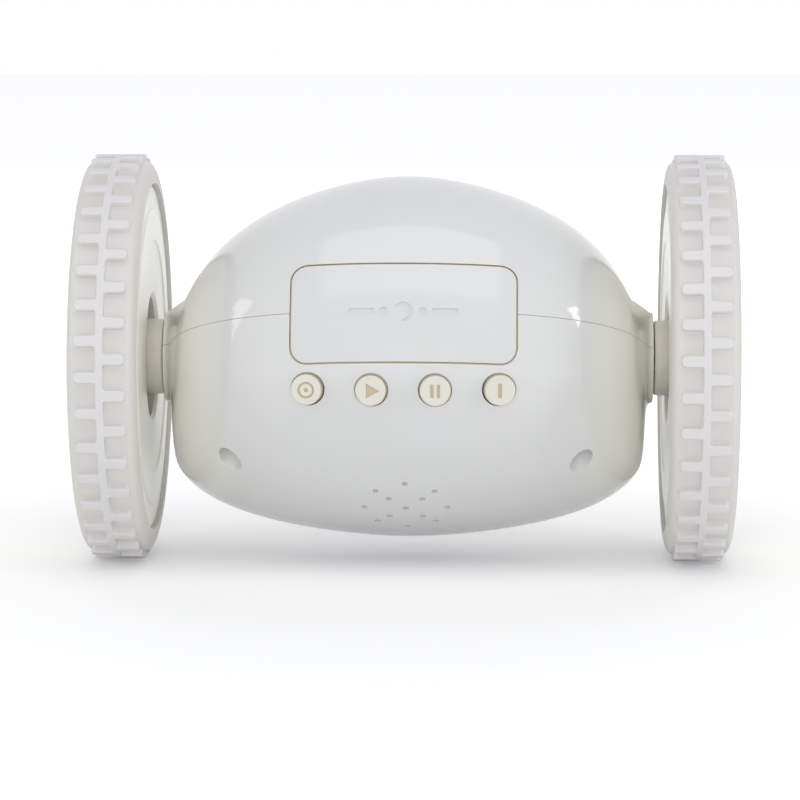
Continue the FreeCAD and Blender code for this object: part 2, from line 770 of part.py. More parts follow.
board_holes = []
board_screws = []
for number, (sign_x, sign_y) in enumerate((("", ""), ("-", ""), ("", "-"), ("-", "-"))):
    spot = (sign_x + "post_spacing_x / 2", sign_y + "post_spacing_y / 2", "display_angle")
    board_holes.append(rod(f"board_hole_{number}", "board_screw_radius + 0.1", "5", FAR, *spot))
    board_screws.append(join(
        f"board_screw_{number}",
        rod(f"board_screw_head_{number}", "board_screw_radius + 0.9", BOARD_BACK + " - 1", BOARD_BACK, *spot),
        rod(f"board_screw_shank_{number}", "board_screw_radius", BOARD_BACK + " - 0.5",
            BOARD_FRONT + " + board_screw_depth", *spot)))
board_blank = block(
    "main_board_blank", ("-main_board_length / 2", "main_board_length / 2"),
    ("-main_board_height / 2", "main_board_height / 2"), (BOARD_BACK, BOARD_FRONT), "display_angle")
finish("main_board", cut("main_board_cut", board_blank, *board_holes))
finish("board_screws", group("board_screw_set", board_screws))
components = [
    block("clock_chip", ("-6", "6"), ("-6", "6"), (BOARD_BACK + " - 2", BOARD_BACK), "display_angle"),
    block("crystal", ("10", "14"), ("-1", "7"), (BOARD_BACK + " - 2.4", BOARD_BACK), "display_angle"),
    block("motor_plug", ("-19", "-11"), ("-9", "-4"), (BOARD_BACK + " - 5", BOARD_BACK), "display_angle"),
    block("battery_plug", ("11", "18"), ("-9", "-4"), (BOARD_BACK + " - 5", BOARD_BACK), "display_angle"),
    rod("smoothing_capacitor", "2.5", BOARD_BACK + " - 6", BOARD_BACK, "-15", "6", "display_angle"),
]
finish("board_components", group("board_component_set", components))

# Snooze bar: a flush cap with a lip behind the shell on three sides, over two switches. Its
# lower edge is thinner, to stay clear of the set buttons below it.
snooze_prism = rounded_plate(
    "snooze_prism", "snooze_length - 2 * snooze_gap", "snooze_height - 2 * snooze_gap",
    "snooze_corner - snooze_gap", "snooze_board_depth + 2", FAR, "parting_angle")
snooze_cap = cut("snooze_cap", overlap("snooze_block", outer_form, snooze_prism), lip_under_form)
lip_prism = rounded_plate(
    "snooze_lip_prism", "snooze_length + 2 * snooze_lip",
    "snooze_height - snooze_gap + snooze_lip", "snooze_corner",
    "snooze_board_depth + 2", FAR, "parting_angle",
    y="-(snooze_gap + snooze_lip) / 2")
snooze_rim = cut("snooze_rim", overlap("snooze_rim_block", lip_top_form, lip_prism), lip_under_form)
SNOOZE_SWITCH_TOP = "snooze_board_depth + snooze_switch_height"
snooze_legs = [
    overlap(
        f"snooze_leg_{side}",
        rod(f"snooze_leg_rod_{side}", "plunger_radius + 0.3", SNOOZE_SWITCH_TOP + " + plunger_rise", FAR,
            sign + "snooze_switch_x", facing="parting_angle"),
        half_wall_form)
    for side, sign in (("right", ""), ("left", "-"))
]
snooze_whole = join("snooze_button_join", snooze_cap, snooze_rim, *snooze_legs)
button_room = overlap(
    "button_room", inner_form,
    block("button_room_block", ("-" + FAR, FAR), ("snooze_height / 2 - bar_foot", FAR), ("0", FAR),
          "parting_angle"))
finish("snooze_button", cut("snooze_button_cut", snooze_whole, button_room))

BOARD_SPAN = ("-switch_board_length / 2", "switch_board_length / 2")
finish("snooze_board", block(
    "snooze_board", BOARD_SPAN, ("-snooze_board_height / 2", "snooze_board_height / 2"),
    ("snooze_board_depth - switch_board_thickness", "snooze_board_depth"), "parting_angle"))
snooze_switches = []
snooze_plungers = []
for side, sign in (("right", ""), ("left", "-")):
    spot = (sign + "snooze_switch_x", "0", "parting_angle")
    snooze_switches.append(cut(
        f"snooze_switch_{side}",
        block(f"snooze_switch_body_{side}",
              (spot[0] + " - switch_width / 2", spot[0] + " + switch_width / 2"),
              ("-switch_width / 2", "switch_width / 2"),
              ("snooze_board_depth", SNOOZE_SWITCH_TOP), "parting_angle"),
        rod(f"snooze_switch_bore_{side}", "plunger_radius + running_gap",
            "snooze_board_depth + 0.4", FAR, *spot)))
    snooze_plungers.append(rod(
        f"snooze_plunger_{side}", "plunger_radius",
        "snooze_board_depth + 0.5 + snooze_travel", SNOOZE_SWITCH_TOP + " + plunger_rise", *spot))
finish("snooze_switches", group("snooze_switch_set", snooze_switches))
finish("snooze_plungers", group("snooze_plunger_set", snooze_plungers))

# Set buttons: four round caps in a row, each over a switch on its own board. Each flange has
# a flat on top, which keys the cap and leaves room for the snooze bar's travel.
finish("button_board", block(
    "button_board", BOARD_SPAN,
    ("button_drop - button_board_height / 2", "button_drop + button_board_height / 2"),
    ("button_board_depth - switch_board_thickness", "button_board_depth"), "0"))
SWITCH_TOP = "button_board_depth + button_switch_height"
button_switches = []
for number, name in enumerate(BUTTONS):
    x = f"{1.5 - number} * button_pitch"
    whole_button = turned(name + "_whole_button", [
        (SWITCH_TOP + " + button_plunger_rise", "0"),
        (SWITCH_TOP + " + button_plunger_rise", "plunger_radius + 0.3"),
        (f"{name}_flange - button_flange", "plunger_radius + 0.3"),
        (f"{name}_flange - button_flange", "button_flange_radius"),
        (f"{name}_flange", "button_flange_radius"),
        (f"{name}_flange", "button_radius"),
        (f"{name}_face - 0.4", "button_radius"),
        (f"{name}_face - 0.12", "button_radius - 0.12"),
        (f"{name}_face", "button_radius - 0.4"),
        (f"{name}_face", "0"),
    ], "0", x, "button_drop")
    above_flat = block(
        name + "_flat", (x + " - 2 * button_hole_radius", x + " + 2 * button_hole_radius"),
        ("button_drop - 2 * button_hole_radius", "button_drop - flange_flat"),
        ("0", name + "_flange"), "0")
    finish(name + "_button", cut(name + "_button_cut", whole_button, above_flat))
    button_switches.append(cut(
        name + "_switch",
        block(name + "_switch_body", (x + " - switch_width / 2", x + " + switch_width / 2"),
              ("button_drop - switch_width / 2", "button_drop + switch_width / 2"),
              ("button_board_depth", SWITCH_TOP), "0"),
        rod(name + "_switch_bore", "plunger_radius + running_gap",
            "button_board_depth + 0.1", FAR, x, "button_drop", "0")))
    finish(name + "_plunger", rod(
        name + "_plunger", "plunger_radius", "button_board_depth + 0.2 + button_travel",
        SWITCH_TOP + " + button_plunger_rise", x, "button_drop", "0"))
finish("button_switches", group("button_switch_set", button_switches))

# Speaker: a basket with its paper cone and a magnet at the back, on a ring behind the holes.
finish("speaker_frame", turned("speaker_frame", [
    ("speaker_seat", "speaker_radius - 1.2"),
    ("speaker_seat", "speaker_radius"),
    ("speaker_seat - 0.9", "speaker_radius"),
    ("speaker_seat - 1.2", "speaker_radius - 1"),
    ("speaker_seat - 4.1", "5.2"),
    ("speaker_seat - 4.1", "2.4"),
    ("speaker_seat - 3.6", "2.4"),
    ("speaker_seat - 3.6", "4.8"),
    ("speaker_seat - 0.9", "speaker_radius - 1.6"),
], "speaker_angle"))
finish("speaker_cone", turned("speaker_cone", [
    ("speaker_seat - 0.3", "speaker_radius - 1.55"),
    ("speaker_seat - 0.6", "speaker_radius - 1.55"),
    ("speaker_seat - 3.3", "2.2"),
    ("speaker_seat - 3.3", "0"),
    ("speaker_seat - 2.4", "0"),
    ("speaker_seat - 2.9", "2.4"),
], "speaker_angle"))
finish("speaker_magnet", rod(
    "speaker_magnet", "4.7", "speaker_seat - 6.3", "speaker_seat - 4.1", facing="speaker_angle"))

# Battery compartment: a tray for four small cells in two layers, its contacts and its door.
door_skin = cut(
    "door_skin",
    overlap("door_skin_block", outer_form, rounded_plate(
        "door_prism", "door_length", "door_width", "door_corner", "20", FAR, "door_angle")),
    half_wall_form)
door_plug = cut(
    "door_plug",
    overlap("door_plug_block", half_wall_form, rounded_plate(
        "door_plug_prism", "door_length - 2 * door_ledge - 2 * door_gap",
        "door_width - 2 * door_ledge - 2 * door_gap", "door_corner - door_ledge",
        "20", FAR, "door_angle")),
    lip_top_form)
finish("battery_door", join("battery_door_join", door_skin, door_plug))

TRAY_SIDE = "cell_pitch + tray_wall + tray_clearance"
HOLLOW_SIDE = "cell_pitch + tray_clearance"
TRAY_FLOOR = "cell_inner_depth - cell_radius - 0.15"
finish("battery_tray", cut(
    "battery_tray_cut",
    block("tray_outer", ("-tray_length / 2", "tray_length / 2"),
          (f"-({TRAY_SIDE})", TRAY_SIDE), (TRAY_FLOOR + " - tray_wall", "tray_rim_depth"), "door_angle"),
    block("tray_hollow", ("-tray_length / 2 + tray_wall", "tray_length / 2 - tray_wall"),
          (f"-({HOLLOW_SIDE})", HOLLOW_SIDE), (TRAY_FLOOR, "tray_rim_depth + 1"), "door_angle")))
cells = []
springs = []
plates = []
CONTACT_FACE = "tray_length / 2 - tray_wall - contact_thickness"
for number, (column, depth) in enumerate((
        ("-", "outer"), ("", "outer"), ("-", "inner"), ("", "inner"))):
    sign = "" if number in (0, 3) else "-"
    flip = "-" if sign == "" else ""
    spot = {"y": column + "cell_pitch / 2", "z": f"cell_{depth}_depth"}
    cell = turned(f"cell_{number}", [
        (f"{sign}({CONTACT_FACE} - cell_length)", "0"),
        (f"{sign}({CONTACT_FACE} - cell_length)", "cell_radius"),
        (f"{sign}({CONTACT_FACE} - cell_nub)", "cell_radius"),
        (f"{sign}({CONTACT_FACE} - cell_nub)", "cell_nub_radius"),
        (f"{sign}({CONTACT_FACE})", "cell_nub_radius"),
        (f"{sign}({CONTACT_FACE})", "0"),
    ])
    aim(cell, "0", spot["y"], spot["z"], "door_angle")
    cells.append(cell)
    spring = turned(f"cell_spring_{number}", [
        (f"{flip}({CONTACT_FACE})", "0"),
        (f"{flip}({CONTACT_FACE})", "3.6"),
        (f"{sign}({CONTACT_FACE} - cell_length)", "2.2"),
        (f"{sign}({CONTACT_FACE} - cell_length)", "0"),
    ])
    aim(spring, "0", spot["y"], spot["z"], "door_angle")
    springs.append(spring)
    for end, (low, high) in (
            ("right", (CONTACT_FACE, "tray_length / 2 - tray_wall")),
            ("left", ("-tray_length / 2 + tray_wall", f"-({CONTACT_FACE})"))):
        plates.append(block(
            f"contact_{number}_{end}", (low, high),
            (spot["y"] + " - contact_half_width", spot["y"] + " + contact_half_width"),
            (spot["z"] + " - contact_half_width", spot["z"] + " + contact_half_width"), "door_angle"))
finish("battery_cells", group("battery_cell_set", cells))
finish("battery_springs", group("battery_spring_set", springs))
finish("battery_contacts", group("battery_contact_set", plates))

# Housing screws: four, up the wells of the rear shell into the front shell's columns.
housing_screws = []
for side, sign in (("right", ""), ("left", "-")):
    for end in ("rear", "front"):
        spot = (sign + "column_x", "column_" + end, "parting_normal")
        housing_screws.append(join(
            f"{side}_{end}_screw",
            rod(f"{side}_{end}_screw_head", "screw_head_radius",
                "screw_ledge - screw_head", "screw_ledge", *spot),
            rod(f"{side}_{end}_screw_shank", "screw_radius", "screw_ledge - 0.5", "screw_depth", *spot)))
finish("housing_screws", group("housing_screw_set", housing_screws))

# Wheels. Each turns on a steel axle that its own gear train drives.
INNER_EDGE = "wheel_centre - tyre_half_width"
OUTER_EDGE = "wheel_centre + tyre_half_width"
TREAD = "wheel_radius - rib_height"
tyre = turned("right_tyre", [
    (INNER_EDGE, "tyre_seat_radius"),
    (INNER_EDGE, TREAD + " - 2.9"),
    (INNER_EDGE + " + 0.7", TREAD + " - 1.1"),
    (INNER_EDGE + " + 2.1", TREAD),
    ("wheel_centre - centre_rib_width / 2", TREAD),
    ("wheel_centre - centre_rib_width / 2", "wheel_radius"),
    ("wheel_centre + centre_rib_width / 2", "wheel_radius"),
    ("wheel_centre + centre_rib_width / 2", TREAD),
    (OUTER_EDGE + " - 2.1", TREAD),
    (OUTER_EDGE + " - 0.7", TREAD + " - 1.1"),
    (OUTER_EDGE, TREAD + " - 2.9"),
    (OUTER_EDGE, "tyre_seat_radius"),
])
for row, low, start in (
        ("outer", "wheel_centre + centre_rib_width / 2 - 0.2", 0),
        ("inner", "wheel_centre - centre_rib_width / 2 + 0.2 - rib_length", 5)):
    rib = tyre.newObject("PartDesign::AdditiveBox", row + "_rib")
    bind(rib, "Length", "rib_length")
    bind(rib, "Width", "rib_width")
    bind(rib, "Height", "rib_height + 0.6")
    rib.Placement = Placement(Vector(), Rotation(Vector(1, 0, 0), 1))
    bind(rib, "Placement.Base.x", low)
    foot = "(wheel_radius - rib_height - 0.6)"
    bind(rib, "Placement.Base.y", f"-rib_width / 2 * cos({start}) - {foot} * sin({start})")
    bind(rib, "Placement.Base.z", f"{foot} * cos({start}) - rib_width / 2 * sin({start})")
    bind(rib, "Placement.Rotation.Angle", str(start))
    doc.recompute()
    pattern = tyre.newObject("PartDesign::PolarPattern", row + "_ribs")
    pattern.Originals = [rib]
    pattern.Axis = (tyre.Group[0], ["H_Axis"])
    pattern.Angle = 360
    bind(pattern, "Occurrences", "rib_count")
    tyre.Tip = pattern
    doc.recompute()
finish_pair("tyre", tyre)

DRUM = "tyre_seat_radius - rim_wall"
COVER_BACK = "cover_inner_face + 1.8"
finish_pair("wheel_rim", turned("right_wheel_rim", [
    ("collar_start", "axle_radius"),
    ("collar_start", "collar_radius - 0.3"),
    ("collar_start + 0.3", "collar_radius"),
    ("web_outer_face - web_thickness", "collar_radius"),
    ("web_outer_face - web_thickness", DRUM),
    (COVER_BACK, DRUM),
    (COVER_BACK, "tyre_seat_radius"),
    (OUTER_EDGE + " - 0.7", "tyre_seat_radius"),
    (OUTER_EDGE + " - 0.7", DRUM),
    ("web_outer_face + 0.6", DRUM + " - 1.2"),
    ("web_outer_face", "rim_step_radius"),
    ("web_outer_face + 0.5", "rim_step_radius - 1"),
    ("web_outer_face + 0.5", "axle_radius"),
]))
finish_pair("wheel_cover", turned("right_wheel_cover", [
    (COVER_BACK, "tyre_seat_radius - 0.1"),
    ("cover_inner_face + 1", "tyre_seat_radius - 0.1"),
    ("cover_inner_face + 0.7", "tyre_seat_radius - 0.8"),
    ("cover_inner_face + 0.5", "tyre_seat_radius - cover_step"),
    ("cover_inner_face + 0.2", "tyre_seat_radius - cover_step - 0.3"),
    ("cover_inner_face", "dome_ring_radius + 0.2"),
    ("cover_inner_face + 0.3", "dome_ring_radius - 0.2"),
    ("cover_inner_face + 0.4", "cover_hole_radius + 1"),
    ("cover_inner_face + 1", "cover_hole_radius"),
    ("cover_inner_face + 2.6", "cover_hole_radius"),
    ("cover_inner_face + 2.6", "cover_hole_radius + 1"),
    ("cover_inner_face + cover_thickness + 0.3", "cover_hole_radius + 1.4"),
    ("cover_inner_face + cover_thickness + 0.2", "dome_ring_radius"),
    (COVER_BACK, "tyre_seat_radius - cover_step"),
]))
finish_pair("hub_cap", turned("right_hub_cap", [
    ("web_outer_face + 0.5", "0"),
    ("web_outer_face + 0.5", "cap_radius"),
    ("web_outer_face + cap_thickness", "cap_radius"),
    ("web_outer_face + 0.5 + cap_thickness", "cap_radius - 0.8"),
    ("web_outer_face + 0.7 + cap_thickness", "0"),
]))
finish_pair("axle", spindle("right_axle", "axle_radius", "axle_start", "axle_end"))
finish_pair("axle_bush", cut(
    "right_axle_bush",
    spindle("bush_blank", "bush_radius", "bush_start", "bush_end"),
    spindle("bush_hole", "axle_radius + running_gap", "bush_start - 1", "hub_end + 1")))

# Gear trains: motor pinion, idler and output gear, two steps of reduction in a closed case.
FLOOR = size("case_start") + size("case_floor")
COVER = size("case_end") - size("case_floor")
IDLER = (size("idler_y"), size("idler_z"))
MOTOR = (size("motor_y"), size("motor_z"))
SIDE_GAP = size("gear_side_gap")
LARGE_END = FLOOR + SIDE_GAP + size("gear_face")
finish_pair("output_gear", shaped("right_output_gear", toothed(
    size("large_teeth"), LARGE_END + 2 * SIDE_GAP, COVER - 2 * SIDE_GAP, size("axle_radius"), (0.0, 0.0),
    size("idler_angle"))))
pin_bore = size("gear_pin_radius") + size("running_gap")
idler_large = toothed(
    size("large_teeth"), FLOOR + SIDE_GAP, LARGE_END, pin_bore, IDLER, size("motor_angle"))
gap_angle = size("idler_angle") + 180 + 180 / size("small_teeth")
idler_small = toothed(size("small_teeth"), LARGE_END, COVER - SIDE_GAP, pin_bore, IDLER, gap_angle)
finish_pair("idler_gear", shaped("right_idler_gear", idler_large.fuse(idler_small)))
finish_pair("gear_pin", spindle(
    "right_gear_pin", "gear_pin_radius", "case_start", "case_end", "idler_y", "idler_z"))

pinion_gap = size("motor_angle") + 180 + 180 / size("small_teeth")
pinion = shaped("pinion", toothed(
    size("small_teeth"), FLOOR + 0.2, LARGE_END + 0.1, size("motor_shaft_radius") - 0.1, MOTOR, pinion_gap))
finish_pair("motor_rotor", join(
    "right_motor_rotor", pinion,
    spindle("rotor_shaft", "motor_shaft_radius", "case_start - motor_length - 0.3",
            "case_start + case_floor + 2.2", "motor_y", "motor_z"),
    spindle("armature", "armature_radius", "case_start - motor_length + armature_end_room",
            "case_start - armature_end_room", "motor_y", "motor_z")))
MOTOR_START = "case_start - motor_length"
motor_can = cut(
    "right_motor_can",
    spindle("motor_can_outer", "motor_radius", MOTOR_START, "case_start", "motor_y", "motor_z"),
    spindle("motor_can_hollow", "motor_radius - motor_can_wall - 0.5", MOTOR_START + " + motor_can_wall",
            "case_start - motor_can_wall", "motor_y", "motor_z"),
    spindle("motor_can_bore", "motor_shaft_radius + running_gap", MOTOR_START + " - 1", "case_start + 1",
            "motor_y", "motor_z"))
finish_pair("motor_can", motor_can)

CASE_START = size("case_start")
case_outer = shaped("case_outer", belt(case_circles(size("case_wall")), CASE_START, COVER))
case_inner = shaped("case_inner", belt(case_circles(0.0), FLOOR, COVER + 1))
cover_blank = shaped("cover_blank", belt(case_circles(size("case_wall")), COVER, size("case_end")))
case_bores = [
    spindle("case_axle_bore", "axle_radius + running_gap", "case_start - 1", "case_end + 1"),
    spindle("case_pin_bore", "gear_pin_radius", "case_start - 1", "case_end + 1", "idler_y", "idler_z"),
    spindle("case_shaft_bore", "motor_shaft_radius + 0.1", "case_start - 1", "case_start + 2",
            "motor_y", "motor_z"),
]
finish_pair("gearbox_case", cut("right_gearbox_case", case_outer, case_inner, *case_bores))
finish_pair("gearbox_cover", cut("right_gearbox_cover", cover_blank, *case_bores[:2]))

# Recompute, check every item and write each piece.
doc.recompute()
faults = [item.Label for item in doc.Objects if {"Invalid", "Error"} & set(item.State)]
for item in finished:
    if item.Shape.isNull() or not item.Shape.isValid():
        faults.append(item.Label)
if faults:
    raise RuntimeError("these did not build: " + ", ".join(faults))
os.makedirs("parts", exist_ok=True)
for item in finished:
    item.Shape.exportStep(f"parts/{item.Label}.step")
print(len(finished), "pieces written")
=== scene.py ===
import math

import bmesh
import bpy
from mathutils import Matrix, Vector
from mathutils.bvhtree import BVHTree


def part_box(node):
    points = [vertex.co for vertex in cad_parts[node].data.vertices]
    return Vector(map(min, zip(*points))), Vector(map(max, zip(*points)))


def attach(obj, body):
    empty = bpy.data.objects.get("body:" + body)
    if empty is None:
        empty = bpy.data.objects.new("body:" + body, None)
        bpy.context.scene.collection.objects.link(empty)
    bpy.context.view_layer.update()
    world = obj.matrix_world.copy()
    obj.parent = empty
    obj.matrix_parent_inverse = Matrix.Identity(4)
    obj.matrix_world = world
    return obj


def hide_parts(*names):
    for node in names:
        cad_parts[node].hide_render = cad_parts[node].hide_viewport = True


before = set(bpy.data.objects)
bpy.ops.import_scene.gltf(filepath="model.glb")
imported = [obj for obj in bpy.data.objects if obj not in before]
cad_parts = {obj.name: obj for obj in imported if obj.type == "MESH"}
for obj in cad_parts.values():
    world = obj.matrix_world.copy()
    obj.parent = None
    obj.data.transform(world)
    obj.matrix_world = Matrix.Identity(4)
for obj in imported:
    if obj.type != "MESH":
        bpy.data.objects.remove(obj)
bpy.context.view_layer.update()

# The clock stands alone on a white floor in a bright white room. A long lens looks at its back
# from a little above, as the photograph does. Lengths are in metres, and MM turns millimetres
# into them.
MM = 0.001
scene = bpy.context.scene
scene.view_settings.view_transform = "Standard"


def linked(name, data):
    item = bpy.data.objects.new(name, data)
    scene.collection.objects.link(item)
    return item


lens = bpy.data.cameras.new("photo_lens")
lens.lens = 159.2
lens.sensor_width = 36.0
lens.clip_start = 0.05
lens.clip_end = 20.0
camera = linked("photo_camera", lens)
camera.location = (-0.0235, 0.731, 0.119)
camera_aim = Vector((0.00187, 0.0, 0.033))
camera.rotation_euler = (camera_aim - camera.location).to_track_quat("-Z", "Y").to_euler()
scene.camera = camera

floor_shape = bmesh.new()
bmesh.ops.create_grid(floor_shape, x_segments=1, y_segments=1, size=4.0)
floor = linked("floor", bpy.data.meshes.new("floor"))
floor_shape.to_mesh(floor.data)
floor_shape.free()

# The floor shows white where light falls freely and keeps a soft violet-grey shadow. The part of
# its white that shadow can't take away is seen by the camera and in glossy surfaces only, and it
# grows with the distance from the clock.
FLOOR_PAINT = (0.95, 0.95, 0.93, 1)
FLOOR_GLOW = (0.9, 0.9, 1.0, 1)
GLOW_NEAR, GLOW_FAR = 0.2, 0.55
floor_finish = bpy.data.materials.new("floor_white")
floor_finish.use_nodes = True
tree = floor_finish.node_tree
tree.nodes.clear()
paint = tree.nodes.new("ShaderNodeBsdfDiffuse")
paint.inputs["Color"].default_value = FLOOR_PAINT
glow = tree.nodes.new("ShaderNodeEmission")
glow.inputs["Color"].default_value = FLOOR_GLOW
ray = tree.nodes.new("ShaderNodeLightPath")
seen = tree.nodes.new("ShaderNodeMath")
seen.operation = "ADD"
seen.use_clamp = True
total = tree.nodes.new("ShaderNodeAddShader")
output = tree.nodes.new("ShaderNodeOutputMaterial")
tree.links.new(ray.outputs["Is Camera Ray"], seen.inputs[0])
tree.links.new(ray.outputs["Is Glossy Ray"], seen.inputs[1])
place = tree.nodes.new("ShaderNodeTexCoord")
away = tree.nodes.new("ShaderNodeVectorMath")
away.operation = "LENGTH"
growth = tree.nodes.new("ShaderNodeMapRange")
growth.inputs["From Min"].default_value = 0.07
growth.inputs["From Max"].default_value = 0.32
growth.inputs["To Min"].default_value = GLOW_NEAR
growth.inputs["To Max"].default_value = GLOW_FAR
strength = tree.nodes.new("ShaderNodeMath")
strength.operation = "MULTIPLY"
tree.links.new(place.outputs["Object"], away.inputs[0])
tree.links.new(away.outputs["Value"], growth.inputs["Value"])
tree.links.new(growth.outputs["Result"], strength.inputs[0])
tree.links.new(seen.outputs[0], strength.inputs[1])
tree.links.new(strength.outputs[0], glow.inputs["Strength"])
tree.links.new(paint.outputs[0], total.inputs[0])
tree.links.new(glow.outputs[0], total.inputs[1])
tree.links.new(total.outputs[0], output.inputs["Surface"])
floor.data.materials.append(floor_finish)

# The room: even light for the object, and plain white where the camera or a glossy or clear
# surface looks straight at it.
ROOM_LIGHT = 0.5
room = bpy.data.worlds.new("white_room")
scene.world = room
room.use_nodes = True
tree = room.node_tree
tree.nodes.clear()
seen_room = tree.nodes.new("ShaderNodeBackground")
seen_room.inputs["Color"].default_value = (1, 1, 1, 1)
seen_room.inputs["Strength"].default_value = 1.0
soft_room = tree.nodes.new("ShaderNodeBackground")
soft_room.inputs["Color"].default_value = (0.98, 0.99, 1.0, 1)
soft_room.inputs["Strength"].default_value = ROOM_LIGHT
ray = tree.nodes.new("ShaderNodeLightPath")
looked_at = tree.nodes.new("ShaderNodeMath")
looked_at.operation = "ADD"
looked_at.use_clamp = True
looked_through = tree.nodes.new("ShaderNodeMath")
looked_through.operation = "ADD"
looked_through.use_clamp = True
either = tree.nodes.new("ShaderNodeMixShader")
output = tree.nodes.new("ShaderNodeOutputWorld")
tree.links.new(ray.outputs["Is Camera Ray"], looked_at.inputs[0])
tree.links.new(ray.outputs["Is Glossy Ray"], looked_at.inputs[1])
tree.links.new(looked_at.outputs[0], looked_through.inputs[0])
tree.links.new(ray.outputs["Is Transmission Ray"], looked_through.inputs[1])
tree.links.new(looked_through.outputs[0], either.inputs[0])
tree.links.new(soft_room.outputs[0], either.inputs[1])
tree.links.new(seen_room.outputs[0], either.inputs[2])
tree.links.new(either.outputs[0], output.inputs["Surface"])


def softbox(name, place, target, width, height, power, mirrored=True):
    light = bpy.data.lights.new(name, "AREA")
    light.shape = "RECTANGLE"
    light.size = width
    light.size_y = height
    light.energy = power
    item = linked(name, light)
    item.location = place
    item.rotation_euler = (Vector(target) - item.location).to_track_quat("-Z", "Y").to_euler()
    item.visible_camera = False
    item.visible_glossy = mirrored


softbox("upper_box", (0.0, 0.5, 1.2), (0, 0, 0.04), 1.0, 1.2, 3.2)
softbox("front_box", (0.0, 1.5, 0.12), (0, 0, 0.04), 0.5, 0.5, 6.6, mirrored=False)
softbox("back_box", (0.0, -1.4, 0.55), (0, 0, 0.04), 2.0, 0.8, 7.0, mirrored=False)
softbox("left_strip", (0.85, 0.3, 0.3), (0, 0, 0.05), 0.2, 0.7, 0.9)
softbox("right_strip", (-0.85, 0.3, 0.25), (0, 0, 0.05), 0.14, 0.7, 1.6)

# Moulded shell halves: glossy cool white ABS, 2 mm thick, that part on a slanted plane through
# the axis. The body is one rounded form, flattened for the display and drawn in to a short neck
# at each hub.
AXLE_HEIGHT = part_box("right_axle")[0].z / 2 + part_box("right_axle")[1].z / 2
REACH_REAR, REACH_FRONT, REACH_TOP, REACH_BOTTOM = 37.4 * MM, 36.5 * MM, 38.6 * MM, 38.0 * MM
HALF_SIDE, HALF_TOP, HALF_BOTTOM = 49.6 * MM, 47.6 * MM, 50.6 * MM
SHELL_WALL = 2.0 * MM
DISPLAY_ANGLE, SNOOZE_ANGLE, DOOR_ANGLE, SPEAKER_ANGLE = 140.0, 20.0, 232.0, -55.0
DISPLAY_DISTANCE = 28.2 * MM
AROUND = 40
SHARES = (0.0, 0.2, 0.4, 0.57, 0.7, 0.8, 0.88, 0.935, 0.965)
NECK = ((49.0, 10.3), (49.7, 9.5), (50.25, 9.35), (50.45, 9.3), (50.5, 9.1), (50.5, 4.4))
PLAIN_END = ((49.7, 5.0), (49.75, 4.0))


def body_reach(angle, inset):
    """Distance from the axis to the surface at the middle of the body."""
    across, up = math.cos(angle), math.sin(angle)
    side = REACH_REAR if across > 0 else REACH_FRONT
    height = REACH_TOP if up > 0 else REACH_BOTTOM
    power = 2.1 if up > 0 else (1.66 if across > 0 else 2.3)
    return ((abs(across) / side) ** power + (abs(up) / height) ** power) ** (-1 / power) - inset


def body_point(angle, share, inset):
    """A point of the cage at an angle round the axis and a share of the way to the hub."""
    upright = math.sin(angle) ** 2
    above = math.sin(angle) > 0
    end = (HALF_TOP if above else HALF_BOTTOM) * upright + HALF_SIDE * (1 - upright) - inset
    power = (2.5 if above else 5.2) * upright + 2.7 * (1 - upright)
    shoulder = 1.62 + 0.98 * max(0.0, math.cos(angle)) ** 2
    radius = body_reach(angle, inset) * (1 - abs(share) ** shoulder) ** (1 / power)
    toward = math.cos(angle - math.radians(DISPLAY_ANGLE))
    if toward > 0.05:
        flat = (DISPLAY_DISTANCE - inset) / toward
        radius = ((radius / MM) ** -16 + (flat / MM) ** -16) ** (-1 / 16) * MM
    return share * end, radius


def body_form(name, inset, ends):
    """The closed body, moved in by inset, with each end drawn in through rings (along, radius)."""
    rows = [("ring", along, radius, -1) for along, radius in reversed(ends)]
    rows += [("share", -share) for share in reversed(SHARES[1:])]
    rows += [("share", share) for share in SHARES]
    rows += [("ring", along, radius, 1) for along, radius in ends]
    shape = bmesh.new()
    line = [shape.verts.new((number, 0, 1)) for number in range(len(rows))]
    edges = [shape.edges.new(pair) for pair in zip(line, line[1:])]
    bmesh.ops.spin(shape, geom=line + edges, cent=(0, 0, 0), axis=(1, 0, 0),
                   angle=2 * math.pi, steps=AROUND, use_merge=True)
    for vert in shape.verts:
        row = rows[round(vert.co.x)]
        angle = math.atan2(vert.co.z, vert.co.y)
        if row[0] == "share":
            along, radius = body_point(angle, row[1], inset)
        else:
            along, radius = row[3] * (row[1] * MM - inset), row[2] * MM
        vert.co = (along, radius * math.cos(angle), AXLE_HEIGHT + radius * math.sin(angle))
    bmesh.ops.holes_fill(shape, edges=[edge for edge in shape.edges if edge.is_boundary], sides=0)
    bmesh.ops.recalc_face_normals(shape, faces=shape.faces)
    item = held(name, shape)
    smooth = item.modifiers.new("smooth", "SUBSURF")
    smooth.levels = smooth.render_levels = 2
    return settled(item)


def held(name, shape):
    """An object that holds a finished bmesh."""
    item = linked(name, bpy.data.meshes.new(name))
    shape.to_mesh(item.data)
    shape.free()
    return item


def settled(item):
    """The object with its modifiers worked into its mesh."""
    bpy.context.view_layer.update()
    evaluated = item.evaluated_get(bpy.context.evaluated_depsgraph_get())
    mesh = bpy.data.meshes.new_from_object(evaluated)
    item.modifiers.clear()
    item.data = mesh
    return item


def combined(item, operation, *tools):
    """The object after a boolean with each tool in turn. The tools are used up."""
    for tool in tools:
        change = item.modifiers.new("change", "BOOLEAN")
        change.operation = operation
        change.solver = "EXACT"
        change.object = tool
        settled(item)
        bpy.data.objects.remove(tool)
    return item


def merged(name, *items):
    """One object from several that don't touch."""
    shape = bmesh.new()
    for item in items:
        shape.from_mesh(item.data)
        bpy.data.objects.remove(item)
    return held(name, shape)


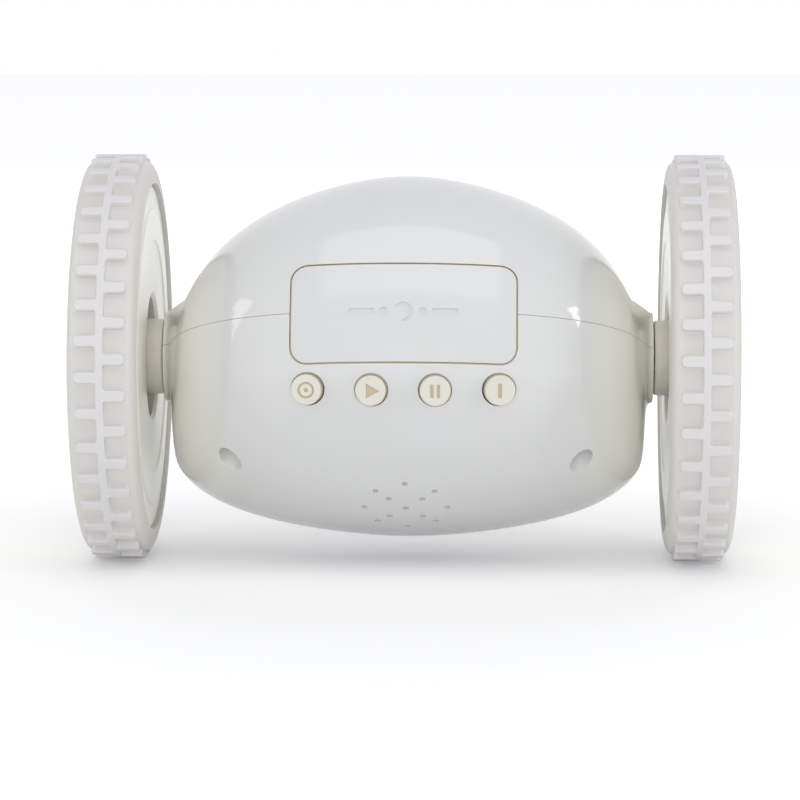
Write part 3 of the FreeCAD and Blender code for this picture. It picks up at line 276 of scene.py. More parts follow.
def copied(item, name):
    return linked(name, item.data.copy())


def facing(angle):
    """From a piece's own frame, with Z pointing out of the body at that angle, to the clock's."""
    out, up = math.cos(math.radians(angle)), math.sin(math.radians(angle))
    return Matrix(((1, 0, 0, 0), (0, up, out, 0), (0, -out, up, AXLE_HEIGHT), (0, 0, 0, 1)))


def plate(name, length, width, corner, low, high, place):
    """A plate with rounded corners between two heights."""
    shape = bmesh.new()
    bmesh.ops.create_grid(shape, x_segments=1, y_segments=1, size=0.5)
    bmesh.ops.transform(shape, matrix=Matrix.Diagonal((length, width, 1, 1)), verts=shape.verts)
    bmesh.ops.bevel(shape, geom=shape.verts[:], offset=corner, segments=8, profile=0.5,
                    affect="VERTICES", material=-1)
    bmesh.ops.translate(shape, vec=(0, 0, low), verts=shape.verts)
    raised = bmesh.ops.extrude_face_region(shape, geom=shape.faces[:])["geom"]
    tops = [part for part in raised if isinstance(part, bmesh.types.BMVert)]
    bmesh.ops.translate(shape, vec=(0, 0, high - low), verts=tops)
    bmesh.ops.transform(shape, matrix=place, verts=shape.verts)
    bmesh.ops.recalc_face_normals(shape, faces=shape.faces)
    return held(name, shape)


def pin(name, radius, low, high, place, x=0.0, y=0.0, sides=48):
    """A round bar between two heights."""
    shape = bmesh.new()
    bmesh.ops.create_cone(shape, cap_ends=True, segments=sides, radius1=radius, radius2=radius,
                          depth=high - low)
    bmesh.ops.translate(shape, vec=(x, y, (low + high) / 2), verts=shape.verts)
    bmesh.ops.transform(shape, matrix=place, verts=shape.verts)
    return held(name, shape)


def skin_of(item):
    """A search tree of the uncut surface, and its vertex normals face by face."""
    shape = bmesh.new()
    shape.from_mesh(item.data)
    bmesh.ops.triangulate(shape, faces=shape.faces)
    shape.normal_update()
    shape.verts.ensure_lookup_table()
    faces = [[vert.index for vert in face.verts] for face in shape.faces]
    points = [vert.co.copy() for vert in shape.verts]
    normals = [vert.normal.copy() for vert in shape.verts]
    shape.free()
    return BVHTree.FromPolygons(points, faces), points, faces, normals


ON_SKIN = 0.03 * MM


def skin_normal(skin, place):
    """The smooth normal of the uncut surface at a place, or None away from it."""
    search, points, faces, normals = skin
    spot, _, index, distance = search.find_nearest(place)
    if spot is None or distance > ON_SKIN:
        return None
    corners = [points[number] for number in faces[index]]
    shares = []
    for number in range(3):
        one, two = corners[(number + 1) % 3] - spot, corners[(number + 2) % 3] - spot
        shares.append(one.cross(two).length)
    whole = sum(shares) or 1.0
    normal = Vector((0, 0, 0))
    for share, number in zip(shares, faces[index]):
        normal += normals[number] * (share / whole)
    return normal.normalized()


def rim_rounded(item, skin, width, steps=2):
    """Round the edges where an opening or an outline cuts the outer surface."""
    search = skin[0]
    shape = bmesh.new()
    shape.from_mesh(item.data)
    bmesh.ops.remove_doubles(shape, verts=shape.verts, dist=0.02 * MM)
    bmesh.ops.dissolve_degenerate(shape, edges=shape.edges, dist=0.02 * MM)

    def is_rim(edge):
        if not edge.is_manifold or edge.calc_face_angle(0) < math.radians(25):
            return False
        return all(search.find_nearest(vert.co)[3] < ON_SKIN for vert in edge.verts)

    rim = [edge for edge in shape.edges if is_rim(edge)]
    rim_verts = {vert for edge in rim for vert in edge.verts}
    near = {}
    for vert in rim_verts:
        for edge in vert.link_edges:
            other = edge.other_vert(vert)
            if other not in rim_verts and edge.calc_length() < 1.3 * width:
                near[other] = vert
    bmesh.ops.weld_verts(shape, targetmap=near)
    bmesh.ops.dissolve_degenerate(shape, edges=shape.edges, dist=0.01 * MM)
    rim = [edge for edge in shape.edges if is_rim(edge)]
    bmesh.ops.bevel(shape, geom=rim, offset=width, segments=steps, profile=0.5, affect="EDGES",
                    material=-1, clamp_overlap=True, loop_slide=True)
    shape.to_mesh(item.data)
    shape.free()
    return item


def skin_shaded(item, skin, sharp=35.0):
    """Smooth shading that follows the uncut surface, so that cuts leave no dents in the gloss."""
    shape = bmesh.new()
    shape.from_mesh(item.data)
    for face in shape.faces:
        face.smooth = True
    for edge in shape.edges:
        edge.smooth = edge.is_manifold and edge.calc_face_angle(0) < math.radians(sharp)
    shape.to_mesh(item.data)
    shape.free()
    mesh = item.data
    normals = [skin_normal(skin, vert.co) for vert in mesh.vertices]
    loops = [Vector(corner.vector) for corner in mesh.corner_normals]
    for face in mesh.polygons:
        for number in face.loop_indices:
            vertex = mesh.loops[number].vertex_index
            if normals[vertex] and normals[vertex].dot(face.normal) > 0.6:
                loops[number] = normals[vertex]
    mesh.normals_split_custom_set(loops)
    return item


body_skin = body_form("body_skin", 0.0, NECK)
skin = skin_of(body_skin)
inner_body = body_form("inner_body", SHELL_WALL, PLAIN_END)
half_wall_body = body_form("half_wall_body", SHELL_WALL / 2, PLAIN_END)

SNOOZE_LENGTH, SNOOZE_HEIGHT, SNOOZE_CORNER = 45.3 * MM, 20.4 * MM, 3.5 * MM
SNOOZE_GAP = 0.35 * MM
BUTTON_HOLE = 3.4 * MM
BUTTON_HOLE_PITCH, BUTTON_PITCH, BUTTON_DROP = 12.65 * MM, 12.8 * MM, 2.7 * MM
BEHIND = 27.0 * MM
BEYOND = 60.0 * MM
WELL_X, WELL_RADIUS, WELL_COLUMN = 35.5 * MM, 2.3 * MM, 3.3 * MM
WELL_ROWS = (14.9 * MM, -14.0 * MM)
WELL_FLOOR = -4.0 * MM
SPEAKER_SEAT, SPEAKER_HOLE = 31.4 * MM, 0.65 * MM
LENS_LENGTH, LENS_HEIGHT, LENS_CORNER, LENS_THICKNESS = 44.0 * MM, 21.0 * MM, 2.5 * MM, 1.2 * MM
WINDOW_LENGTH, WINDOW_HEIGHT = 40.0 * MM, 16.5 * MM
DOOR_LENGTH, DOOR_WIDTH, DOOR_CORNER = 50.0 * MM, 26.0 * MM, 2.8 * MM
DOOR_GAP, DOOR_LEDGE = 0.2 * MM, 1.4 * MM
PARTING_GAP = 0.12 * MM
PARTING_NORMAL = SNOOZE_ANGLE + 90

shell = copied(body_skin, "shell")
combined(shell, "DIFFERENCE", copied(inner_body, "hollow"))
columns = merged("columns", *[
    pin("column", WELL_COLUMN, -BEYOND, BEYOND, facing(PARTING_NORMAL), x, y)
    for x in (WELL_X, -WELL_X) for y in WELL_ROWS])
combined(columns, "INTERSECT", copied(half_wall_body, "column_trim"))
combined(shell, "UNION", columns)

ALONG_AXIS = Matrix.Translation((0, 0, AXLE_HEIGHT)) @ Matrix.Rotation(math.pi / 2, 4, "Y")
HUB_RADIUS, HUB_START, HUB_END = 6.0 * MM, 39.6 * MM, 50.4 * MM
BUSH_RADIUS = 3.5 * MM
POST_X, POST_Y = 23.9 * MM, 12.5 * MM
PANEL_FACE = 24.3 * MM
tray_wall_outer = plate("tray_wall_outer", 51.6 * MM, 27.0 * MM, 0.3 * MM, 26.8 * MM, BEYOND,
                        facing(DOOR_ANGLE))
combined(tray_wall_outer, "DIFFERENCE", plate("tray_wall_inner", 49.4 * MM, 24.9 * MM, 0.3 * MM,
                                              20 * MM, BEYOND + MM, facing(DOOR_ANGLE)))
speaker_ring = pin("speaker_ring", 11.5 * MM, SPEAKER_SEAT, BEYOND, facing(SPEAKER_ANGLE))
combined(speaker_ring, "DIFFERENCE", pin("speaker_room", 9 * MM, SPEAKER_SEAT - MM, BEYOND + MM,
                                         facing(SPEAKER_ANGLE)))
fittings = [
    plate("window_frame", WINDOW_LENGTH + 10 * MM, WINDOW_HEIGHT + 10 * MM, 0.3 * MM, PANEL_FACE,
          DISPLAY_DISTANCE - MM, facing(DISPLAY_ANGLE)),
    merged("posts", *[pin("post", 2.3 * MM, 20.3 * MM, BEYOND, facing(DISPLAY_ANGLE), x, y)
                      for x in (POST_X, -POST_X) for y in (POST_Y, -POST_Y)]),
    tray_wall_outer,
    speaker_ring,
    merged("hub_tubes", pin("hub_tube", HUB_RADIUS, HUB_START, HUB_END, ALONG_AXIS),
           pin("hub_tube", HUB_RADIUS, -HUB_END, -HUB_START, ALONG_AXIS)),
]
for fitting in fittings:
    combined(fitting, "INTERSECT", copied(half_wall_body, "fitting_trim"))
    combined(shell, "UNION", fitting)
door_rebate = plate("door_rebate", DOOR_LENGTH + 2 * DOOR_GAP, DOOR_WIDTH + 2 * DOOR_GAP,
                    DOOR_CORNER + DOOR_GAP, BEHIND, BEYOND, facing(DOOR_ANGLE))
combined(door_rebate, "DIFFERENCE", body_form("ledge_trim", 1.1 * MM, PLAIN_END))
cutters = [
    door_rebate,
    plate("snooze_hole", SNOOZE_LENGTH, SNOOZE_HEIGHT, SNOOZE_CORNER, BEHIND, BEYOND,
          facing(SNOOZE_ANGLE)),
    plate("lens_recess", LENS_LENGTH + 0.2 * MM, LENS_HEIGHT + 0.2 * MM, LENS_CORNER + 0.1 * MM,
          DISPLAY_DISTANCE - LENS_THICKNESS, BEYOND, facing(DISPLAY_ANGLE)),
]
for number in range(4):
    cutters.append(pin("button_hole", BUTTON_HOLE, BEHIND, BEYOND, facing(0),
                       (1.5 - number) * BUTTON_HOLE_PITCH, BUTTON_DROP))
for x in (WELL_X, -WELL_X):
    for y in WELL_ROWS:
        cutters.append(pin("well", WELL_RADIUS, -BEYOND, WELL_FLOOR, facing(PARTING_NORMAL), x, y))
speaker_spots = [(0.0, 0.0)]
for radius, count, first in ((4.8 * MM, 4, 45), (8.4 * MM, 8, 0)):
    for number in range(count):
        angle = math.radians(first + number * 360 / count)
        speaker_spots.append((radius * math.cos(angle), radius * math.sin(angle)))
for x, y in speaker_spots:
    cutters.append(pin("speaker_hole", SPEAKER_HOLE, SPEAKER_SEAT - MM, BEYOND,
                       facing(SPEAKER_ANGLE), x, y, 20))
for side in (1, -1):
    cutters.append(pin("bush_bore", BUSH_RADIUS, HUB_START - 3.6 * MM, HUB_END + 1.6 * MM,
                       ALONG_AXIS @ Matrix.Rotation(0 if side > 0 else math.pi, 4, "X")))
combined(shell, "DIFFERENCE", merged("openings", *cutters))
combined(shell, "DIFFERENCE", merged(
    "windows",
    plate("window", WINDOW_LENGTH, WINDOW_HEIGHT, 2 * MM, 20 * MM, BEYOND, facing(DISPLAY_ANGLE)),
    plate("door_opening", DOOR_LENGTH - 2 * DOOR_LEDGE, DOOR_WIDTH - 2 * DOOR_LEDGE, DOOR_LEDGE,
          BEHIND, BEYOND, facing(DOOR_ANGLE))))


def shell_half(name, side):
    """One side of the parting plane, rounded where it is cut and shaded as the whole body."""
    half = plate(name + "_side", 4 * BEYOND, 4 * BEYOND, 5 * MM, PARTING_GAP / 2, 2 * BEYOND,
                 facing(PARTING_NORMAL if side > 0 else PARTING_NORMAL + 180))
    item = copied(shell, name + "_moulded")
    combined(item, "INTERSECT", half)
    rim_rounded(item, skin, 0.22 * MM)
    skin_shaded(item, skin)
    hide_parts(name)
    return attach(item, "housing")


front_shell = shell_half("front_housing", 1)
rear_shell = shell_half("rear_housing", -1)
bpy.data.objects.remove(shell)


def plastic(name, colour, roughness, tint=0.02, grain=0.006, coat=0.0, subsurface=0.0):
    """Moulded plastic: slight drift in colour and gloss, and the faint ripple of the mould."""
    finish = bpy.data.materials.new(name)
    finish.use_nodes = True
    tree = finish.node_tree
    shader = tree.nodes["Principled BSDF"]
    shader.inputs["IOR"].default_value = 1.52
    shader.inputs["Coat Weight"].default_value = coat
    shader.inputs["Coat Roughness"].default_value = 0.05
    shader.inputs["Subsurface Weight"].default_value = subsurface
    shader.inputs["Subsurface Radius"].default_value = (0.0016, 0.0014, 0.001)
    place = tree.nodes.new("ShaderNodeTexCoord")
    drift = tree.nodes.new("ShaderNodeTexNoise")
    drift.inputs["Scale"].default_value = 45.0
    drift.inputs["Detail"].default_value = 3.0
    tones = tree.nodes.new("ShaderNodeValToRGB")
    darker = [channel * (1 - tint) for channel in colour]
    tones.color_ramp.elements[0].position = 0.3
    tones.color_ramp.elements[0].color = (darker[0], darker[1], darker[2] * (1 - tint), 1)
    tones.color_ramp.elements[1].position = 0.7
    tones.color_ramp.elements[1].color = (*colour, 1)
    gloss = tree.nodes.new("ShaderNodeMapRange")
    gloss.inputs["To Min"].default_value = roughness * 0.85
    gloss.inputs["To Max"].default_value = roughness * 1.2
    ripple = tree.nodes.new("ShaderNodeTexNoise")
    ripple.inputs["Scale"].default_value = 900.0
    ripple.inputs["Detail"].default_value = 2.0
    bump = tree.nodes.new("ShaderNodeBump")
    bump.inputs["Strength"].default_value = 0.25
    bump.inputs["Distance"].default_value = grain * MM
    tree.links.new(place.outputs["Object"], drift.inputs["Vector"])
    tree.links.new(place.outputs["Object"], ripple.inputs["Vector"])
    tree.links.new(drift.outputs["Fac"], tones.inputs["Fac"])
    tree.links.new(drift.outputs["Fac"], gloss.inputs["Value"])
    tree.links.new(tones.outputs["Color"], shader.inputs["Base Color"])
    tree.links.new(gloss.outputs["Result"], shader.inputs["Roughness"])
    tree.links.new(ripple.outputs["Fac"], bump.inputs["Height"])
    tree.links.new(bump.outputs["Normal"], shader.inputs["Normal"])
    return finish


def painted(item, finish):
    item.data.materials.clear()
    item.data.materials.append(finish)
    return item


def painted_hub_bounce(finish, warm, start, end):
    """Painted bounce light: the moulding is painted creamier and lighter towards both ends, for
    the light that the lit wheel covers throw back onto its flanks.
    """
    tree = finish.node_tree
    shader = tree.nodes["Principled BSDF"]
    plain = shader.inputs["Base Color"].links[0].from_socket
    place = tree.nodes.new("ShaderNodeTexCoord")
    split = tree.nodes.new("ShaderNodeSeparateXYZ")
    outward = tree.nodes.new("ShaderNodeMath")
    outward.operation = "ABSOLUTE"
    share = tree.nodes.new("ShaderNodeMapRange")
    share.interpolation_type = "SMOOTHSTEP"
    share.inputs["From Min"].default_value = start
    share.inputs["From Max"].default_value = end
    painted_light_mix = tree.nodes.new("ShaderNodeMixRGB")
    painted_light_mix.inputs["Color2"].default_value = (*warm, 1)
    tree.links.new(place.outputs["Object"], split.inputs[0])
    tree.links.new(split.outputs["X"], outward.inputs[0])
    tree.links.new(outward.outputs[0], share.inputs["Value"])
    tree.links.new(share.outputs["Result"], painted_light_mix.inputs["Fac"])
    tree.links.new(plain, painted_light_mix.inputs["Color1"])
    tree.links.new(painted_light_mix.outputs["Color"], shader.inputs["Base Color"])
    return finish


def shade_painted_in_gaps(item, skin, depth, finish):
    """Paint shade in the gaps: the faces round the bar and the buttons that lie below the surface
    take the given darker finish as painted shade.
    """
    item.data.materials.append(finish)
    for face in item.data.polygons:
        if face.center.y < 20 * MM or face.center.z < AXLE_HEIGHT - 8 * MM:
            continue
        if skin[0].find_nearest(face.center)[3] > depth:
            face.material_index = len(item.data.materials) - 1
    return item


# Painted bounce light: the white is painted creamier and lighter from 33 mm to 47 mm out, for the
# warm light the lit wheel covers throw onto the flanks.
shell_white = painted_hub_bounce(plastic("shell_white", (0.735, 0.738, 0.755), 0.09, coat=0.3),
                                (0.88, 0.865, 0.80), 33 * MM, 47 * MM)
# Painted shade: a darker tan for the faces down in the gaps round the snooze bar and the buttons,
# where shade falls.
painted_gap_shade = plastic("painted_gap_shade", (0.66, 0.56, 0.42), 0.35)
for half_shell in (front_shell, rear_shell):
    shade_painted_in_gaps(painted(half_shell, shell_white), skin, 0.35 * MM, painted_gap_shade)

# Display: a clear acrylic lens with a printed border sits flush in the face. Behind its window
# are the panel with plain digits, a light guide and a striped rubber connector on the main board.
def dressed(node, finish):
    """A CAD piece that keeps its shape and gets its finish."""
    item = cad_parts[node]
    if not item.material_slots:
        item.data.materials.append(finish)
    for slot in item.material_slots:
        slot.material = finish
    return item


def carried(item, body, finish):
    """A new piece that rides on a body and takes its finish."""
    painted(item, finish)
    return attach(item, body)


def rounded_copy(node, width=0.0, steps=2, sharp=25.0):
    """A CAD piece with its loose triangles joined and its hard edges rounded by width."""
    shape = bmesh.new()
    shape.from_mesh(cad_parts[node].data)
    bmesh.ops.remove_doubles(shape, verts=shape.verts, dist=0.001 * MM)
    bmesh.ops.dissolve_limit(shape, angle_limit=math.radians(0.4), verts=shape.verts,
                             edges=shape.edges)
    if width:
        hard = [edge for edge in shape.edges
                if edge.is_manifold and edge.calc_face_angle(0) > math.radians(sharp)]
        bmesh.ops.bevel(shape, geom=hard, offset=width, segments=steps, profile=0.5,
                        affect="EDGES", material=-1, clamp_overlap=True, loop_slide=True)
    return evenly_shaded(held(node + "_moulded", shape))


def evenly_shaded(item, sharp=40.0):
    """Smooth shading between sharp edges, weighted by the faces' areas."""
    shape = bmesh.new()
    shape.from_mesh(item.data)
    for face in shape.faces:
        face.smooth = True
    for edge in shape.edges:
        edge.smooth = edge.is_manifold and edge.calc_face_angle(0) < math.radians(sharp)
    shape.to_mesh(item.data)
    shape.free()
    item.modifiers.new("even_shading", "WEIGHTED_NORMAL").keep_sharp = True
    return settled(item)


def standing_for(item, node, body, finish):
    """The piece takes a CAD node's place, body and finish."""
    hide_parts(node)
    return carried(item, body, finish)


PRINT_THICKNESS = 0.05 * MM
DIGIT_HEIGHT, DIGIT_WIDTH, STROKE = 11.0 * MM, 5.6 * MM, 1.4 * MM
LIT = {0: "abcdef", 4: "bcfg", 5: "acdfg", 6: "acdefg"}


def digit_stroke(shape, x, y, length, upright):
    """One pointed stroke of a digit, as a thin solid on the panel."""
    made = bmesh.ops.create_circle(shape, cap_ends=True, segments=6, radius=STROKE / 2)["verts"]
    for vert in made:
        vert.co.x += math.copysign((length - STROKE) / 2, vert.co.x)
    if upright:
        bmesh.ops.rotate(shape, verts=made, cent=(0, 0, 0),
                         matrix=Matrix.Rotation(math.pi / 2, 3, "Z"))
    bmesh.ops.translate(shape, verts=made, vec=(x, y, PANEL_FACE + 0.01 * MM))
    face = made[0].link_faces[0]
    tops = bmesh.ops.extrude_face_region(shape, geom=[face])["geom"]
    bmesh.ops.translate(shape, vec=(0, 0, PRINT_THICKNESS),
                        verts=[part for part in tops if isinstance(part, bmesh.types.BMVert)])


lit_shape, idle_shape = bmesh.new(), bmesh.new()
half, quarter = DIGIT_WIDTH / 2, DIGIT_HEIGHT / 4
STROKES = {"a": (0, 2 * quarter, False), "g": (0, 0, False), "d": (0, -2 * quarter, False),
           "b": (half, quarter, True), "c": (half, -quarter, True),
           "f": (-half, quarter, True), "e": (-half, -quarter, True)}
for place, digit in zip((-14.2, -5.6, 5.6, 14.2), (0, 6, 4, 5)):
    for name, (x, y, upright) in STROKES.items():
        target = lit_shape if name in LIT[digit] else idle_shape
        length = (DIGIT_HEIGHT / 2 if upright else DIGIT_WIDTH) - 0.25 * MM
        digit_stroke(target, place * MM + x, y, length, upright)
for y in (-quarter, quarter):
    digit_stroke(lit_shape, 0, y, STROKE * 1.15, False)
for name, shape, tone in (("digits_lit", lit_shape, (0.012, 0.014, 0.014)),
                          ("digits_idle", idle_shape, (0.4, 0.43, 0.38))):
    bmesh.ops.transform(shape, matrix=facing(DISPLAY_ANGLE), verts=shape.verts)
    bmesh.ops.recalc_face_normals(shape, faces=shape.faces)
    carried(held(name, shape), "housing", plastic(name, tone, 0.35))

lens_border = plate("lens_border", LENS_LENGTH - 0.3 * MM, LENS_HEIGHT - 0.3 * MM, LENS_CORNER,
                    DISPLAY_DISTANCE - LENS_THICKNESS + 0.02 * MM,
                    DISPLAY_DISTANCE - LENS_THICKNESS + 0.07 * MM, facing(DISPLAY_ANGLE))
combined(lens_border, "DIFFERENCE", plate(
    "border_opening", WINDOW_LENGTH - 1.0 * MM, WINDOW_HEIGHT - 1.0 * MM, 2 * MM, 20 * MM, BEYOND,
    facing(DISPLAY_ANGLE)))
carried(lens_border, "housing", plastic("border_print", (0.16, 0.17, 0.18), 0.4))

clear_lens = plastic("clear_lens", (0.97, 0.98, 0.98), 0.03, tint=0.005, grain=0.001)
lens_shader = clear_lens.node_tree.nodes["Principled BSDF"]
lens_shader.inputs["Transmission Weight"].default_value = 1.0
lens_shader.inputs["IOR"].default_value = 1.49
display_glass = plate("display_lens_moulded", LENS_LENGTH, LENS_HEIGHT, LENS_CORNER,
                      DISPLAY_DISTANCE - LENS_THICKNESS, DISPLAY_DISTANCE, facing(DISPLAY_ANGLE))
rim = bmesh.new()
rim.from_mesh(display_glass.data)
bmesh.ops.bevel(rim, geom=[edge for edge in rim.edges if edge.calc_face_angle(0) > 1.2],
                offset=0.2 * MM, segments=2, profile=0.5, affect="EDGES", material=-1)
rim.to_mesh(display_glass.data)
rim.free()
standing_for(evenly_shaded(display_glass), "display_lens", "housing", clear_lens)


def metal(name, colour, roughness, streak=0.0, grain=0.002):
    """Plain or plated metal, with fine streaks along the part where it is drawn or turned."""
    finish = plastic(name, colour, roughness, tint=0.06, grain=grain)
    tree = finish.node_tree
    shader = tree.nodes["Principled BSDF"]
    shader.inputs["Metallic"].default_value = 1.0
    if streak:
        place = tree.nodes.new("ShaderNodeTexCoord")
        stretch = tree.nodes.new("ShaderNodeMapping")
        stretch.inputs["Scale"].default_value = (4, 90, 90)
        lines = tree.nodes.new("ShaderNodeTexNoise")
        lines.inputs["Scale"].default_value = 60.0
        lines.inputs["Detail"].default_value = 4.0
        spread = tree.nodes.new("ShaderNodeMapRange")
        spread.inputs["To Min"].default_value = roughness * (1 - streak)
        spread.inputs["To Max"].default_value = roughness * (1 + streak)
        tree.links.new(place.outputs["Object"], stretch.inputs["Vector"])
        tree.links.new(stretch.outputs["Vector"], lines.inputs["Vector"])
        tree.links.new(lines.outputs["Fac"], spread.inputs["Value"])
        tree.links.new(spread.outputs["Result"], shader.inputs["Roughness"])
    return finish


def striped(name, dark, light, scale, sharpness=0.2):
    """Two tones in even stripes across X, as on a rubber connector."""
    finish = plastic(name, light, 0.5)
    tree = finish.node_tree
    shader = tree.nodes["Principled BSDF"]
    place = tree.nodes.new("ShaderNodeTexCoord")
    bands = tree.nodes.new("ShaderNodeTexWave")
    bands.inputs["Scale"].default_value = scale
    tones = tree.nodes.new("ShaderNodeValToRGB")
    tones.color_ramp.elements[0].position = 0.5 - sharpness
    tones.color_ramp.elements[0].color = (*dark, 1)
    tones.color_ramp.elements[1].position = 0.5 + sharpness
    tones.color_ramp.elements[1].color = (*light, 1)
    tree.links.new(place.outputs["Object"], bands.inputs["Vector"])
    tree.links.new(bands.outputs["Fac"], tones.inputs["Fac"])
    tree.links.new(tones.outputs["Color"], shader.inputs["Base Color"])
    return finish


def circuit_board(name, mask, trace):
    """Solder mask with branching copper traces under it and small tinned pads."""
    finish = plastic(name, mask, 0.35)
    tree = finish.node_tree
    shader = tree.nodes["Principled BSDF"]
    place = tree.nodes.new("ShaderNodeTexCoord")
    runs = tree.nodes.new("ShaderNodeTexBrick")
    runs.inputs["Scale"].default_value = 260.0
    runs.inputs["Mortar Size"].default_value = 0.035
    runs.inputs["Color1"].default_value = (*mask, 1)
    runs.inputs["Color2"].default_value = (*[channel * 0.85 for channel in mask], 1)
    runs.inputs["Mortar"].default_value = (*trace, 1)
    pads = tree.nodes.new("ShaderNodeTexVoronoi")
    pads.inputs["Scale"].default_value = 330.0
    pads.inputs["Randomness"].default_value = 0.35
    spot = tree.nodes.new("ShaderNodeMath")
    spot.operation = "LESS_THAN"
    spot.inputs[1].default_value = 0.16
    tinned = tree.nodes.new("ShaderNodeMixRGB")
    tinned.inputs["Color2"].default_value = (0.62, 0.62, 0.6, 1)
    tree.links.new(place.outputs["Object"], runs.inputs["Vector"])
    tree.links.new(place.outputs["Object"], pads.inputs["Vector"])
    tree.links.new(pads.outputs["Distance"], spot.inputs[0])
    tree.links.new(spot.outputs[0], tinned.inputs["Fac"])
    tree.links.new(runs.outputs["Color"], tinned.inputs["Color1"])
    tree.links.new(tinned.outputs["Color"], shader.inputs["Base Color"])
    return finish


lcd_glass = plastic("lcd_glass", (0.5, 0.54, 0.47), 0.18, tint=0.03, grain=0.001)
backlight_white = plastic("backlight_white", (0.72, 0.76, 0.72), 0.5)
board_green = circuit_board("board_green", (0.02, 0.12, 0.05), (0.05, 0.22, 0.1))
part_black = plastic("part_black", (0.02, 0.02, 0.022), 0.45, tint=0.15, grain=0.01)
dressed("lcd_panel", lcd_glass)
dressed("lcd_backlight", backlight_white)
dressed("connector_strip",
        striped("connector_rubber", (0.09, 0.04, 0.05), (0.55, 0.2, 0.26), 320.0))
dressed("main_board", board_green)
dressed("board_components", part_black)


def cross_screw(shape, place, x, y, seat, head_height, head_radius, shank_radius, tip):
    """A pan-head screw with a cross recess. Its head points down the place's Z axis."""
    half_outline = ((0, seat - head_height), (0.55 * head_radius, seat - head_height),
                    (0.85 * head_radius, seat - 0.8 * head_height),
                    (head_radius, seat - 0.4 * head_height), (head_radius, seat),
                    (shank_radius, seat), (shank_radius, tip - shank_radius),
                    (0.3 * shank_radius, tip), (0, tip))
    shape_of_one = bmesh.new()
    outline = [shape_of_one.verts.new((radius, 0, depth)) for radius, depth in half_outline]
    edges = [shape_of_one.edges.new(pair) for pair in zip(outline, outline[1:])]
    bmesh.ops.spin(shape_of_one, geom=outline + edges, cent=(0, 0, 0), axis=(0, 0, 1),
                   angle=2 * math.pi, steps=32, use_merge=True)
    bmesh.ops.remove_doubles(shape_of_one, verts=shape_of_one.verts, dist=0.0005 * MM)
    bmesh.ops.recalc_face_normals(shape_of_one, faces=shape_of_one.faces)
    one = held("one_screw", shape_of_one)
    for turn in (0, math.pi / 2):
        slot_shape = bmesh.new()
        bmesh.ops.create_cone(slot_shape, cap_ends=True, segments=4, radius1=0.78 * head_radius,
                              radius2=0.3 * head_radius, depth=0.75 * head_height)
        bmesh.ops.scale(slot_shape, verts=slot_shape.verts, vec=(1, 0.24, 1))
        bmesh.ops.rotate(slot_shape, verts=slot_shape.verts, cent=(0, 0, 0),
                         matrix=Matrix.Rotation(turn + 0.4, 3, "Z"))
        bmesh.ops.translate(slot_shape, verts=slot_shape.verts,
                            vec=(0, 0, seat - head_height + 0.3 * head_height))
        combined(one, "DIFFERENCE", held("screw_slot", slot_shape))
    placed = bmesh.new()
    placed.from_mesh(one.data)
    bmesh.ops.translate(placed, verts=placed.verts, vec=(x, y, 0))
    bmesh.ops.transform(placed, verts=placed.verts, matrix=place)
    placed.to_mesh(one.data)
    placed.free()
    shape.from_mesh(one.data)
    bpy.data.objects.remove(one)


screw_steel = metal("screw_steel", (0.55, 0.55, 0.54), 0.3)
board_screw_shape = bmesh.new()
BOARD_BACK_DEPTH = 18.7 * MM
for x in (POST_X, -POST_X):
    for y in (POST_Y, -POST_Y):
        cross_screw(board_screw_shape, facing(DISPLAY_ANGLE), x, y, BOARD_BACK_DEPTH, 1.0 * MM,
                    1.9 * MM, 1.0 * MM, BOARD_BACK_DEPTH + 6.4 * MM)
standing_for(evenly_shaded(held("board_screws_turned", board_screw_shape)), "board_screws",
             "housing", screw_steel)

# Snooze bar: one glossy cap, flush with the shell, that presses on two small switches on their
# own board. Its top carries a small sunk row of plain shapes, a moon between dots and bars, and a
# skirt below its edge nearly fills the hole.
SNOOZE_THICKNESS = 3.3 * MM
SUNK = 0.3 * MM
snooze_place = facing(SNOOZE_ANGLE)
moon = pin("moon", 1.9 * MM, BEHIND, BEYOND, snooze_place)
combined(moon, "DIFFERENCE", pin("moon_shadow", 1.55 * MM, BEHIND - MM, BEYOND + MM, snooze_place,
                                 0.8 * MM, 0.35 * MM))
sunk_row = merged(
    "sunk_row", moon,
    pin("dot_right", 0.85 * MM, BEHIND, BEYOND, snooze_place, 3.9 * MM, 0, 24),
    pin("dot_left", 0.85 * MM, BEHIND, BEYOND, snooze_place, -3.9 * MM, 0, 24),
    *[plate("bar", 5.2 * MM, 1.25 * MM, 0.5 * MM, BEHIND, BEYOND,
            snooze_place @ Matrix.Translation((x * MM, 0, 0))) for x in (8.3, -8.3)])
combined(sunk_row, "DIFFERENCE", body_form("sunk_floor", SUNK, PLAIN_END))
snooze_bar = copied(body_skin, "snooze_bar_cap")
combined(snooze_bar, "INTERSECT", plate(
    "snooze_outline", SNOOZE_LENGTH - 2 * SNOOZE_GAP, SNOOZE_HEIGHT - 2 * SNOOZE_GAP,
    SNOOZE_CORNER - SNOOZE_GAP, BEHIND, BEYOND, snooze_place))
combined(snooze_bar, "DIFFERENCE", body_form("snooze_under", SNOOZE_THICKNESS, PLAIN_END))
rim_rounded(snooze_bar, skin, 0.3 * MM, 3)
combined(snooze_bar, "DIFFERENCE", sunk_row)
SKIRT_GAP, SKIRT_DROP = 0.06 * MM, 0.6 * MM
skirt = plate("skirt", SNOOZE_LENGTH - 2 * SKIRT_GAP, SNOOZE_HEIGHT - 2 * SKIRT_GAP,
              SNOOZE_CORNER - SKIRT_GAP, BEHIND, BEYOND, snooze_place)
combined(skirt, "INTERSECT", body_form("skirt_top", SKIRT_DROP, PLAIN_END))
